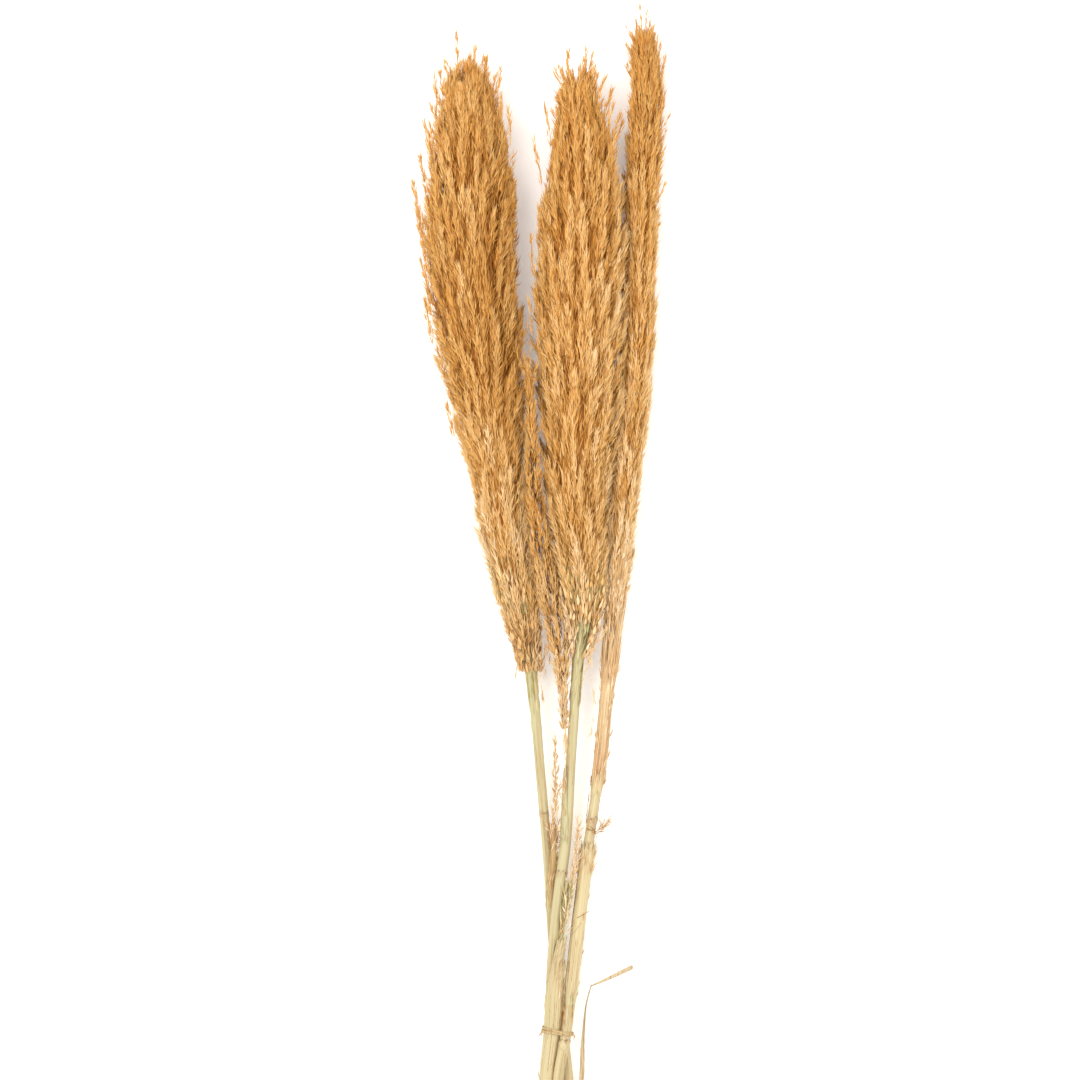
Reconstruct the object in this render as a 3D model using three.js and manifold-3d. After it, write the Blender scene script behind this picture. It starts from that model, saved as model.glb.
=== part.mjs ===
// A hand-tied bundle of dried pampas grass, lying on a table: three tall stalks with full plumes,
// their torn leaf sheaths, a slender side plume, small side sprays, one dry leaf and a raffia tie.
// Millimetres. While it is laid out, x runs across the bundle, y along it from the tie towards the
// plumes, and z up from the table. At the end the group is moved so that its origin lies on the
// table, in the middle of the bundle's length and width.
import * as THREE from "three";
import { mergeVertices } from "three/addons/utils/BufferGeometryUtils.js";
import Module from "manifold-3d";

const wasm = await Module();
wasm.setup();

// Driving dimensions
const BUTT_Y = -100; // the cut ends of the stalks
const GAP = 0.3; // clearance between pieces that touch
const SHEATH_GAP = 0.5; // clearance between a stalk and the leaf sheath round it
const SHEATH_WALL = 0.9; // a dry leaf sheath
const SPAN = 25; // a stalk runs straight between points this far apart
const LEAF_THICKNESS = 0.7; // a dry leaf blade
const RAFFIA = { width: 3.0, thickness: 1.6 };
const STALK_SIDES = 10;
const CORE_SHARE = 0.6; // size of a plume's dense middle, as a share of the whole plume
const GOLDEN_ANGLE = Math.PI * (3 - Math.sqrt(5));

const COLOURS = {
  straw: 0xd8ca98,
  sheath: 0xdcb884,
  plume: 0xc8924a,
  paleSpray: 0xcfa678,
  raffia: 0xd2a96c,
  leaf: 0xd0ad7c,
};

// Stalks: y, then centre x, centre z and radius there
const STALK_LEFT = [
  [BUTT_Y, 15.0, 5.34, 5.6],
  [-50, 10.8, 6.9, 5.6],
  [0, 5.4, 8.9, 5.5],
  [86, -4.9, 11.3, 5.3],
  [174, -10.3, 15.6, 5.3],
  [272, -18.4, 22.0, 5.4],
  [392, -29.5, 30.0, 5.4],
];
const STALK_MIDDLE = [
  [BUTT_Y, -15.7, 7.55, 6.3],
  [-50, -12.4, 10.8, 6.3],
  [0, -7.6, 15.0, 6.2],
  [44, -7.1, 20.4, 6.1],
  [86, -4.8, 24.0, 6.1],
  [146, 0.8, 26.2, 6.1],
  [206, 8.5, 27.9, 6.0],
  [293, 13.9, 30.6, 5.6],
  [406, 22.0, 34.0, 5.2],
];
const STALK_RIGHT = [
  [BUTT_Y, -2.2, 14.8, 6.0],
  [-50, 1.1, 17.6, 6.0],
  [0, 9.7, 21.3, 6.0],
  [86, 19.1, 22.8, 6.0],
  [174, 29.6, 23.6, 5.8],
  [293, 46.1, 24.4, 5.5],
  [422, 58.3, 24.2, 5.0],
];
// The joints of each stalk: y, and how far the ring swells past the stalk
const JOINTS = { left: [[232, 0.5]], middle: [[172, 0.6]], right: [[-15, 0.6], [222, 0.6]] };

// Plumes: y, centre x, centre z and half width there; depth is the share of the width. A loose tuft
// stands off its plume, and is given by where it leaves it and where it ends.
const PLUME_LEFT = {
  rows: [
    [392 + GAP, -29.5, 30.0, 13.0],
    [440, -38.5, 31.0, 21.0],
    [520, -56.7, 32.5, 26.5],
    [600, -69.0, 34.0, 32.5],
    [690, -79.0, 35.0, 43.5],
    [790, -91.0, 35.0, 50.5],
    [870, -97.5, 34.8, 52.5],
    [950, -97.5, 34.0, 44.5],
    [1020, -100.0, 30.0, 27.0],
    [1076, -106.0, 27.0, 5.0],
  ],
  depth: 0.68,
  foot: 4.6,
  tuft: { length: 84, width: 11, spacing: 30, tier: 32 },
  seed: 11,
  loose: [
    [[-145, 862, 36], [-158, 919, 38]],
    [[-144, 822, 38], [-151, 866, 42]],
    [[-139, 936, 34], [-146, 982, 36]],
    [[-126, 986, 32], [-134, 1034, 35]],
    [[-109, 1040, 28], [-112, 1088, 29]],
    [[-92, 1020, 33], [-88, 1066, 36]],
    [[-72, 1000, 34], [-62, 1042, 37]],
    [[-56, 952, 36], [-53, 998, 39]],
  ],
};
const PLUME_MIDDLE = {
  rows: [
    [406 + GAP, 22.0, 34.0, 12.0],
    [440, 27.0, 35.0, 21.0],
    [520, 24.0, 36.0, 29.5],
    [600, 21.5, 37.0, 37.0],
    [690, 23.6, 36.0, 44.4],
    [790, 23.5, 35.4, 48.5],
    [870, 26.0, 35.4, 46.0],
    [950, 28.0, 34.5, 37.0],
    [1010, 25.5, 33.0, 24.0],
    [1056, 20.0, 31.0, 6.0],
  ],
  depth: 0.76,
  foot: 4.4,
  tuft: { length: 84, width: 11, spacing: 30, tier: 32 },
  seed: 23,
  loose: [
    [[16, 1022, 32], [14, 1062, 33]],
    [[27, 1022, 32], [31, 1063, 34]],
    [[-8, 950, 37], [-15, 998, 40]],
    [[-17, 910, 37], [-27, 964, 40]],
    [[50, 968, 35], [58, 1016, 38]],
  ],
};
const PLUME_RIGHT = {
  rows: [
    [422 + GAP, 58.3, 24.2, 8.0],
    [465, 61.6, 24.0, 11.5],
    [520, 68.0, 23.0, 15.0],
    [573, 72.4, 22.0, 16.5],
    [627, 77.6, 21.0, 18.0],
    [735, 87.2, 20.0, 19.0],
    [843, 90.5, 20.0, 19.6],
    [951, 94.8, 19.8, 19.2],
    [1040, 96.6, 19.5, 16.5],
    [1100, 91.5, 18.0, 3.0],
  ],
  depth: 1.0,
  foot: 4.2,
  tuft: { length: 66, width: 8, spacing: 21, tier: 32 },
  seed: 37,
  loose: [
    [[101, 1044, 21], [107, 1078, 23]],
    [[85, 1036, 21], [80, 1070, 23]],
  ],
};
const PLUME_SLENDER = {
  rows: [
    [330, 6.6, 37.4, 2.6],
    [379, 4.2, 38.6, 8.5],
    [422, 1.4, 38.0, 10.6],
    [465, -8.8, 37.0, 11.0],
    [520, -18.0, 40.0, 10.4],
    [573, -25.4, 43.0, 9.6],
    [627, -27.8, 45.5, 7.0],
    [681, -30.4, 47.5, 4.5],
    [735, -33.0, 48.5, 1.6],
  ],
  depth: 0.9,
  foot: 1.2,
  tuft: { length: 44, width: 6, spacing: 20, tier: 36 },
  seed: 41,
  loose: [],
};

// The same random numbers on every run.
function randomFrom(seed) {
  let state = seed >>> 0;
  return () => {
    state = (state + 0x6d2b79f5) >>> 0;
    let t = Math.imul(state ^ (state >>> 15), 1 | state);
    t = (t + Math.imul(t ^ (t >>> 7), 61 | t)) ^ t;
    return ((t ^ (t >>> 14)) >>> 0) / 4294967296;
  };
}

// The numbers that a table of rows gives at y, on a smooth curve through its rows.
function at(rows, y) {
  const last = rows.length - 1;
  const i = Math.max(0, Math.min(last - 1, rows.findIndex((row) => row[0] > y) - 1));
  const start = y >= rows[last][0] ? last - 1 : i;
  const [a, b] = [rows[start], rows[start + 1]];
  const before = rows[Math.max(0, start - 1)];
  const after = rows[Math.min(last, start + 2)];
  const span = b[0] - a[0];
  const t = THREE.MathUtils.clamp((y - a[0]) / span, 0, 1);
  return a.slice(1).map((_, k) => {
    const v = k + 1;
    const slopeA = ((b[v] - before[v]) / (b[0] - before[0])) * span;
    const slopeB = ((after[v] - a[v]) / (after[0] - a[0])) * span;
    const [t2, t3] = [t * t, t * t * t];
    return (
      (2 * t3 - 3 * t2 + 1) * a[v] +
      (t3 - 2 * t2 + t) * slopeA +
      (3 * t2 - 2 * t3) * b[v] +
      (t3 - t2) * slopeB
    );
  });
}

const lerp = THREE.MathUtils.lerp;
const steps = (from, to, count) =>
  Array.from({ length: count + 1 }, (_, i) => lerp(from, to, i / count));

// Where a stalk is at y. It is straight between points a span apart, and so is all that clings to it.
function onStalk(rows, y) {
  const low = Math.floor((y - BUTT_Y) / SPAN) * SPAN + BUTT_Y;
  const high = Math.min(low + SPAN, rows[rows.length - 1][0]);
  if (high <= low) return at(rows, y);
  const [a, b] = [at(rows, low), at(rows, high)];
  return a.map((value, k) => lerp(value, b[k], (y - low) / (high - low)));
}

// A flat outline of a circle, in the x and z directions.
function circle(sides, turn = 0) {
  return steps(0, sides - 1, sides - 1).map((i) => {
    const angle = turn + (i / sides) * 2 * Math.PI;
    return new THREE.Vector2(Math.cos(angle), Math.sin(angle));
  });
}

// A solid skinned over rings of points. Each ring follows the outline of one flat section.
function skin(rings, section, closed = false) {
  const n = section.length;
  const index = [];
  const spans = closed ? rings.length : rings.length - 1;
  for (let j = 0; j < spans; j++) {
    const [low, high] = [j * n, ((j + 1) % rings.length) * n];
    for (let i = 0; i < n; i++) {
      const next = (i + 1) % n;
      index.push(low + i, high + i, high + next, low + i, high + next, low + next);
    }
  }
  if (!closed) {
    const top = (rings.length - 1) * n;
    for (const [a, b, c] of THREE.ShapeUtils.triangulateShape(section, [])) {
      index.push(a, b, c, top + c, top + b, top + a);
    }
  }
  const geometry = new THREE.BufferGeometry();
  const positions = rings.flat().flatMap((point) => point.toArray());
  geometry.setAttribute("position", new THREE.Float32BufferAttribute(positions, 3));
  geometry.setIndex(index);
  return geometry;
}

// A section's outline placed square to the y axis.
function ringAt(section, x, y, z, radiusX, radiusZ = radiusX) {
  return section.map((p) => new THREE.Vector3(x + p.x * radiusX, y, z + p.y * radiusZ));
}

function toSolid(geometry) {
  const merged = mergeVertices(geometry, 1e-3);
  const corners = merged.index.array;
  const kept = [];
  for (let i = 0; i < corners.length; i += 3) {
    const [a, b, c] = corners.slice(i, i + 3);
    if (a !== b && b !== c && c !== a) kept.push(a, b, c);
  }
  return new wasm.Manifold(
    new wasm.Mesh({
      numProp: 3,
      vertProperties: merged.attributes.position.array,
      triVerts: new Uint32Array(kept),
    }),
  );
}

// One body out of many that overlap. Sealed hollows are filled, and loose scraps are dropped.
function fuse(geometries) {
  const joined = wasm.Manifold.union(geometries.map(toSolid));
  const body = joined.decompose().reduce((a, b) => (a.volume() > b.volume() ? a : b));
  const { vertProperties, triVerts } = body.getMesh();
  const geometry = new THREE.BufferGeometry();
  geometry.setAttribute("position", new THREE.Float32BufferAttribute(vertProperties, 3));
  geometry.setIndex(new THREE.BufferAttribute(triVerts, 1));
  return geometry;
}

// A pointed tuft or spikelet from root to tip, widest at its belly, bowed out through that point.
// Nothing of it goes below the table.
function spike(root, belly, tip, rootRadius, bellyRadius, sides = 3, turn = 0) {
  const section = circle(sides, turn);
  const upright = new THREE.Vector3(0, 1, 0);
  const direction = tip.clone().sub(root).normalize();
  const lean = new THREE.Quaternion().setFromUnitVectors(upright, direction);
  const ring = (centre, radius) =>
    section.map((p) => {
      const point = new THREE.Vector3(p.x * radius, 0, p.y * radius).applyQuaternion(lean);
      point.add(centre);
      point.z = Math.max(point.z, 0);
      return point;
    });
  return skin([ring(root, rootRadius), ring(belly, bellyRadius), ring(tip, 0)], section);
}

// A stalk with its swollen joints, cut square at both ends.
function stalk(rows, joints) {
  const end = rows[rows.length - 1][0];
  const levels = [[end, 0]];
  for (let y = BUTT_Y; y < end - 1; y += SPAN) levels.push([y, 0]);
  for (const [y, swell] of joints) levels.push([y - 5, 0], [y - 1, swell], [y + 2, swell], [y + 6, 0]);
  levels.sort((a, b) => a[0] - b[0]);
  const section = circle(STALK_SIDES);
  const rings = levels.map(([y, swell]) => {
    const [x, z, radius] = onStalk(rows, y);
    return ringAt(section, x, y, z, radius + swell);
  });
  return skin(rings, section);
}

// A leaf sheath rolled round a stalk. Its rows give y, how far its centre stands off the stalk's in
// x and z, how much wider than the stalk it is, half the angle that it covers, and the way it faces.
// ragged is the depth of its torn upper edge.
function sheath(stalkRows, rows, ragged, parts = 12) {
  const shares = steps(-1, 1, parts);
  const flat = (share, radius) =>
    new THREE.Vector2(Math.cos(share * 2.6) * radius, Math.sin(share * 2.6) * radius);
  const section = [
    ...shares.map((share) => flat(share, 2)),
    ...shares.toReversed().map((share) => flat(share, 1)),
  ];
  const [from, to] = [rows[0][0], rows[rows.length - 1][0]];
  const rings = steps(from, to, Math.round((to - from) / SPAN)).map((y) => {
    const [offX, offZ, wider, half, facing] = at(rows, y);
    const place = (share, wall) => {
      const torn = y === to ? ragged * Math.sin(share * 7.3 + from) * Math.cos(share * 3.1) : 0;
      const [x, z, radius] = onStalk(stalkRows, y + torn);
      const angle = THREE.MathUtils.degToRad(facing + share * half);
      const reach = radius + SHEATH_GAP + wider + wall;
      return new THREE.Vector3(
        x + offX + Math.cos(angle) * reach,
        y + torn,
        z + offZ + Math.sin(angle) * reach,
      );
    };
    return [
      ...shares.map((share) => place(share, SHEATH_WALL)),
      ...shares.toReversed().map((share) => place(share, 0)),
    ];
  });
  return skin(rings, section);
}

// A plume: a dense core, with tiers of long tufts that stand out of it and overlap like shingles.
function plume({ rows, depth, foot, tuft, seed, loose }, sides = 3) {
  const random = randomFrom(seed);
  const [base, top] = [rows[0][0], rows[rows.length - 1][0]];
  const place = (y, angle, share) => {
    const [x, z, half] = at(rows, y);
    return new THREE.Vector3(
      x + Math.cos(angle) * half * share,
      Math.min(y, top),
      Math.max(z + Math.sin(angle) * half * depth * share, tuft.width * 0.3),
    );
  };
  const section = circle(8, Math.PI / 8);
  const coreRings = steps(base, top, 9).map((y, i) => {
    const [x, z, half] = at(rows, y);
    const wide = i === 0 ? foot : half * CORE_SHARE;
    return ringAt(section, x, y, z, wide, i === 0 ? foot : wide * depth);
  });
  const pieces = [skin(coreRings, section)];
  const tiers = Math.round((top - base) / tuft.tier);
  let turn = 0;
  for (let tier = 0; tier <= tiers; tier++) {
    const level = base + 4 + ((top - base - tuft.length * 0.45) * tier) / tiers;
    const [, , half] = at(rows, level);
    const count = Math.max(4, Math.round((2 * Math.PI * half * Math.sqrt((1 + depth ** 2) / 2)) / tuft.spacing));
    turn += GOLDEN_ANGLE;
    for (let i = 0; i < count; i++) {
      const angle = turn + ((i + 0.3 * (random() - 0.5)) / count) * 2 * Math.PI;
      const y = level + (random() - 0.5) * tuft.tier * 0.7;
      const length = tuft.length * lerp(0.8, 1.15, random());
      const root = place(Math.max(y, base + 2), angle, CORE_SHARE * 0.62);
      const belly = place(y + length * 0.46, angle, lerp(0.78, 0.86, random()));
      const tip = place(y + length, angle, lerp(0.94, 1.0, random()));
      pieces.push(spike(root, belly, tip, 0, tuft.width / 2, sides, angle));
    }
  }
  for (const [start, end] of loose) {
    const [x, z] = at(rows, start[1] - 50);
    const belly = new THREE.Vector3(...start);
    const root = new THREE.Vector3(lerp(x, start[0], 0.45), start[1] - 50, z);
    pieces.push(spike(root, belly, new THREE.Vector3(...end), 0, 3.2, sides));
  }
  return pieces;
}

// A small spray: a thin stem through the given points, with spikelets standing off it in turn.
function spray(points, stemRadius, count, spikelet, seed, firstShare = 0.25) {
  const random = randomFrom(seed);
  const curve = new THREE.CatmullRomCurve3(points.map((p) => new THREE.Vector3(...p)));
  const section = circle(4, Math.PI / 4);
  const pieces = [];
  const rings = steps(0, 1, 7).map((u) => {
    const { x, y, z } = curve.getPoint(u);
    return ringAt(section, x, y, z, stemRadius * lerp(1, 0.55, u));
  });
  pieces.push(skin(rings, section));
  for (let i = 0; i < count; i++) {
    const u = lerp(firstShare, 1, i / (count - 1));
    const from = curve.getPoint(Math.min(u, 0.99));
    const along = curve.getTangent(Math.min(u, 0.99));
    const angle = i * GOLDEN_ANGLE;
    const lean = lerp(spikelet.lean, spikelet.lean * 0.5, u) * lerp(0.7, 1.2, random());
    const out = new THREE.Vector3(Math.cos(angle) * lean, 0, Math.sin(angle) * lean * 0.8);
    const direction = along.clone().add(out).normalize();
    const length = spikelet.length * lerp(0.85, 1.2, random());
    const root = from.clone().addScaledVector(along, -1.5);
    const belly = from.clone().addScaledVector(direction, length * 0.5);
    const tip = from.clone().addScaledVector(direction, length);
    pieces.push(spike(root, belly, tip, stemRadius * 0.7, spikelet.width / 2, 3, angle));
  }
  return pieces;
}

// The dry leaf: a collar round the foot of the left stalk, and a narrow blade that leaves it, runs
// up beside the bundle, turns on edge at a sharp kink and ends torn off.
function leaf() {
  const collar = sheath(
    STALK_LEFT,
    [
      [BUTT_Y, 0, 0, 0.1, 80, 34],
      [BUTT_Y + SPAN, 0, 0, 0.1, 64, 24],
    ],
    0,
    8,
  );
  // y, x, z, width, and how far the blade is turned from lying flat, in degrees
  const rows = [
    [-82, 20.2, 8.2, 3.0, 60],
    [-66, 24.6, 6.6, 5.4, 20],
    [-50, 26.5, 5.4, 5.4, 10],
    [-20, 27.0, 4.2, 4.3, 15],
    [1, 28.2, 3.6, 3.2, 35],
    [28, 30.6, 3.2, 2.8, 60],
    [48.6, 36.2, 2.6, 2.4, 76],
  ];
  const section = [
    new THREE.Vector2(-0.5, -0.5),
    new THREE.Vector2(0.5, -0.5),
    new THREE.Vector2(0.5, 0.5),
    new THREE.Vector2(-0.5, 0.5),
  ];
  const strip = (x, y, z, width, turned, heading) => {
    const across = new THREE.Vector3(Math.cos(heading), -Math.sin(heading), 0);
    const tilt = THREE.MathUtils.degToRad(turned);
    const wide = across.clone().multiplyScalar(Math.cos(tilt)).setZ(Math.sin(tilt));
    const thick = across.clone().multiplyScalar(-Math.sin(tilt)).setZ(Math.cos(tilt));
    return section.map((p) =>
      new THREE.Vector3(x, y, z)
        .addScaledVector(wide, p.x * width)
        .addScaledVector(thick, p.y * LEAF_THICKNESS),
    );
  };
  const rise = steps(rows[0][0], rows[rows.length - 1][0], 12).map((y) => {
    const [x, z, width, turned] = at(rows, y);
    return strip(x, y, z, width, turned, 0);
  });
  const kink = { x: 36.2, y: 48.6, z: 2.6 };
  const end = { x: 81.0, y: 70.2, z: 1.2 };
  const heading = Math.atan2(end.x - kink.x, end.y - kink.y);
  const arm = steps(0, 1, 4).map((u) =>
    strip(
      lerp(kink.x - 0.4, end.x, u),
      lerp(kink.y - 0.6, end.y, u),
      lerp(kink.z, end.z, u) + Math.sin(u * Math.PI) * 1.6,
      lerp(2.2, 3.4, Math.sqrt(u)),
      lerp(70, 8, Math.sqrt(u)),
      heading,
    ),
  );
  return fuse([collar, skin(rise, section), skin(arm, section)]);
}

// A loop of raffia drawn tight round the three stalks, lower on the right by slope, in mm per mm.
function raffiaLoop(level, slope, extra) {
  const held = [
    [STALK_MIDDLE, SHEATH_GAP + SHEATH_WALL + 0.2],
    [STALK_LEFT, 0],
    [STALK_RIGHT, 0],
  ].map(([rows, sheathed]) => {
    const [x, z, radius] = onStalk(rows, level - slope * at(rows, level)[0]);
    return { x, z, radius: radius + sheathed };
  });
  const section = circle(6);
  const rings = [];
  const count = 22;
  for (let i = 0; i < count; i++) {
    const angle = (-i / count) * 2 * Math.PI;
    const [cos, sin] = [Math.cos(angle), Math.sin(angle)];
    const reach = (c) => c.x * cos + c.z * sin + c.radius;
    const outer = held.reduce((a, b) => (reach(a) > reach(b) ? a : b));
    const off = outer.radius + 3 * GAP + RAFFIA.thickness / 2 + extra;
    const centre = new THREE.Vector3(outer.x + cos * off, 0, outer.z + sin * off);
    centre.y = level - slope * centre.x + extra * 0.8;
    rings.push(
      section.map((p) =>
        new THREE.Vector3(
          centre.x + (cos * p.x * RAFFIA.thickness) / 2,
          centre.y + (p.y * RAFFIA.width) / 2,
          centre.z + (sin * p.x * RAFFIA.thickness) / 2,
        ),
      ),
    );
  }
  return skin(rings, section, true);
}

// The tie: two turns of raffia that cross on the front, with the tucked ends at its two sides.
function tie() {
  const knot = spike(
    new THREE.Vector3(16.9, -1.4, 24.6),
    new THREE.Vector3(18.4, -4.6, 25.6),
    new THREE.Vector3(19.6, -9.0, 25.2),
    0.9,
    2.0,
    6,
  );
  const tail = spike(
    new THREE.Vector3(-16.9, 0.9, 17.4),
    new THREE.Vector3(-19.4, -3.4, 16.8),
    new THREE.Vector3(-22.4, -8.2, 15.4),
    0.8,
    0.7,
    4,
  );
  return fuse([raffiaLoop(0.5, 0.16, 0), raffiaLoop(-2.2, 0.1, 0.5), knot, tail]);
}

const material = (colour) =>
  new THREE.MeshStandardMaterial({ color: colour, roughness: 0.75, metalness: 0 });

const bundle = new THREE.Group();
function add(name, geometry, colour) {
  const mesh = new THREE.Mesh(geometry, material(colour));
  mesh.name = name;
  bundle.add(mesh);
}

add("stalk_left", stalk(STALK_LEFT, JOINTS.left), COLOURS.straw);
add("stalk_middle", stalk(STALK_MIDDLE, JOINTS.middle), COLOURS.straw);
add("stalk_right", stalk(STALK_RIGHT, JOINTS.right), COLOURS.straw);

add("plume_left", fuse(plume(PLUME_LEFT)), COLOURS.plume);
add("plume_middle", fuse(plume(PLUME_MIDDLE)), COLOURS.plume);
add("plume_right", fuse(plume(PLUME_RIGHT)), COLOURS.plume);

// The slender plume grows on a thin stem of its own, out of a sheath on the middle stalk.
const slenderStem = spray(
  [
    [5.2, 250, 33.8],
    [6.8, 300, 36.3],
    [6.6, 334, 37.5],
  ],
  1.3,
  2,
  { length: 9, width: 2.2, lean: 0.4 },
  5,
  0.6,
);
add("plume_slender", fuse([...plume(PLUME_SLENDER), ...slenderStem]), COLOURS.paleSpray);

add(
  "spray_left",
  fuse(
    spray(
      [
        [-5.4, 170, 21.6],
        [-5.0, 195, 24.4],
        [-3.6, 228, 27.6],
        [-2.6, 260, 29.2],
        [-3.0, 293, 30.6],
        [-3.6, 312, 31.2],
      ],
      1.2,
      17,
      { length: 18, width: 3.2, lean: 0.34 },
      7,
      0.2,
    ),
  ),
  COLOURS.paleSpray,
);
add(
  "spray_middle",
  fuse(
    spray(
      [
        [1.6, 84, 28.8],
        [4.4, 100, 30.0],
        [8.6, 125, 31.0],
        [14.0, 152, 31.2],
        [18.0, 179, 31.2],
        [20.5, 201, 31.0],
        [22.0, 220, 31.0],
      ],
      1.3,
      19,
      { length: 19, width: 3.2, lean: 0.34 },
      9,
      0.12,
    ),
  ),
  COLOURS.paleSpray,
);

// Each sheath's rows: y, offset in x and z, extra width, half the angle covered, and its facing.
const SHEATHS = {
  sheath_left: [
    STALK_LEFT,
    [
      [125, 0, 0, 0.6, 135, 70],
      [150, 0.6, 0.6, 0.4, 120, 64],
      [175, 2.4, 2.6, 1.6, 100, 60],
      [200, 4.4, 4.8, 1.6, 80, 58],
    ],
    5,
  ],
  sheath_middle_upper: [
    STALK_MIDDLE,
    [
      [200, 0, 0, 0, 96, 118],
      [225, 0, 0, 0.6, 76, 122],
      [250, -0.6, 0.6, 2.8, 54, 126],
      [275, -1.0, 0.8, 3.2, 34, 128],
    ],
    3,
  ],
  sheath_middle_lower: [
    STALK_MIDDLE,
    [
      [BUTT_Y, 0, 0, 0.1, 150, 75],
      [-50, 0, 0, 0.1, 150, 75],
      [-25, 0, 0, 0.2, 130, 75],
      [0, 0, 0, 0.2, 108, 75],
      [25, 0, 0, 0.4, 85, 75],
      [50, 1.0, 1.0, 0.2, 75, 65],
      [75, 4.0, 2.4, -0.2, 78, 50],
      [100, 7.0, 3.4, -0.8, 85, 40],
    ],
    4,
  ],
  sheath_right_upper: [
    STALK_RIGHT,
    [
      [250, 0, 0, 0.5, 160, 90],
      [275, 0, 0, 0.7, 160, 90],
      [300, 0, 0, 1.0, 150, 90],
      [350, 0, 0, 0.9, 150, 90],
      [400, 0, 0, 1.4, 140, 90],
    ],
    5,
  ],
  sheath_right_lower: [
    STALK_RIGHT,
    [
      [25, 0, 0, 0.3, 118, 90],
      [75, 0, 0, 0.3, 150, 90],
      [150, 0, 0, 0.3, 150, 90],
      [200, 0, 0, 0.9, 120, 90],
    ],
    5,
  ],
};
for (const [name, [rows, shape, ragged]] of Object.entries(SHEATHS)) {
  add(name, sheath(rows, shape, ragged), COLOURS.sheath);
}
add("leaf_strip", leaf(), COLOURS.leaf);
add("raffia_tie", tie(), COLOURS.raffia);

// A sprig of dry spikelets caught in the torn edge at the right stalk's upper joint.
add(
  "sprig_right",
  fuse(
    spray(
      [
        [40.7, 215, 28.6],
        [46.5, 219, 31.2],
        [52.0, 223, 31.2],
      ],
      1.0,
      7,
      { length: 10, width: 2.2, lean: 1.1 },
      13,
      0.1,
    ),
  ),
  COLOURS.paleSpray,
);

// The origin: on the table, in the middle of the bundle.
const box = new THREE.Box3().setFromObject(bundle);
const centre = box.getCenter(new THREE.Vector3());
bundle.position.set(-centre.x, -centre.y, -box.min.z);

export default bundle;
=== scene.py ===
# %% [markdown]
# # A bundle of dried pampas grass
#
# Three tall stalks with full plumes lie on a table, held by a twist of raffia. The solid model
# already fixes where every stalk, plume, sheath and leaf is, so this lesson only gives each of
# them its real surface: thousands of papery spikelets, ribbed stalks, torn sheaths and twisted
# raffia.

# %% Load the solid model
import math

import bpy
import numpy as np
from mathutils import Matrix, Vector


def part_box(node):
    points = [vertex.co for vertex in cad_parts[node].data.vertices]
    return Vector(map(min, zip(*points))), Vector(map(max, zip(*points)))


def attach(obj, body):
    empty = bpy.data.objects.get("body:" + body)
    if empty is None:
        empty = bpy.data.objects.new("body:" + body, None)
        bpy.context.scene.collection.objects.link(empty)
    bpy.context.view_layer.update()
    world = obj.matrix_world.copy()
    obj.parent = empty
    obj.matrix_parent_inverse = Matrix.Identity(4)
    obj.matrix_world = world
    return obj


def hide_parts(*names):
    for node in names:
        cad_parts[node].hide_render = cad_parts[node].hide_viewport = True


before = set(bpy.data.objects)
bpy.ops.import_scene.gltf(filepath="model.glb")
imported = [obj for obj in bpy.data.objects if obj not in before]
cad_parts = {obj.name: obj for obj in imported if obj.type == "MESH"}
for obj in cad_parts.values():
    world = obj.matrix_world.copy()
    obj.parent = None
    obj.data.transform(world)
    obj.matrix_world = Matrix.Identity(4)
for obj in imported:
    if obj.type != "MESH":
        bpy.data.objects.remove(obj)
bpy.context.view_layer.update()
print("nodes in the solid model:", len(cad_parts))

# %% [markdown]
# Every measure below is in millimetres from the middle of the tie: x across the bundle, y along
# it towards the plumes, z up from the table. The solid model has its origin elsewhere, so one
# shift carries the tables there. The left stalk's solid shows how far: its lowest y is the cut
# end, and its lowest x is its left side where the plume begins.

# %% Where the tie is in the model
MM = 0.001
BUTT_Y = -100.0
STALK_LEFT_EDGE = -34.9
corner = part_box("stalk_left")[0]
SHIFT = np.array([corner.x / MM - STALK_LEFT_EDGE, corner.y / MM - BUTT_Y, 0.0])
print("shift from the tie to the model's origin, in mm:", SHIFT.round(2))


def to_model(points):
    """Millimetres from the tie to metres in the model's frame."""
    return (np.asarray(points, float) + SHIFT) * MM


# %% [markdown]
# A stalk or a plume is a table of rows: y, and then what is measured there. A smooth curve
# through the rows gives the numbers in between. The stalks' rows are those of the solids. The
# plumes' rows keep within a few millimetres of the solids', and most are drawn in a little,
# because their fine spikelets stand out past the ends of the tufts. A plume's depth is its height
# as a share of its width.

# %% Tables of the stalks and plumes
# y, centre x, centre z, radius
STALK_LEFT = [
    (BUTT_Y, 15.0, 5.34, 5.6), (-50, 10.8, 6.9, 5.6), (0, 5.4, 8.9, 5.5), (86, -4.9, 11.3, 5.3),
    (174, -10.3, 15.6, 5.3), (272, -18.4, 22.0, 5.4), (392, -29.5, 30.0, 5.4),
]
STALK_MIDDLE = [
    (BUTT_Y, -15.7, 7.55, 6.3), (-50, -12.4, 10.8, 6.3), (0, -7.6, 15.0, 6.2),
    (44, -7.1, 20.4, 6.1), (86, -4.8, 24.0, 6.1), (146, 0.8, 26.2, 6.1), (206, 8.5, 27.9, 6.0),
    (293, 13.9, 30.6, 5.6), (406, 22.0, 34.0, 5.2),
]
STALK_RIGHT = [
    (BUTT_Y, -2.2, 14.8, 6.0), (-50, 1.1, 17.6, 6.0), (0, 9.7, 21.3, 6.0), (86, 19.1, 22.8, 6.0),
    (174, 29.6, 23.6, 5.8), (293, 46.1, 24.4, 5.5), (422, 58.3, 24.2, 5.0),
]
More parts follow.
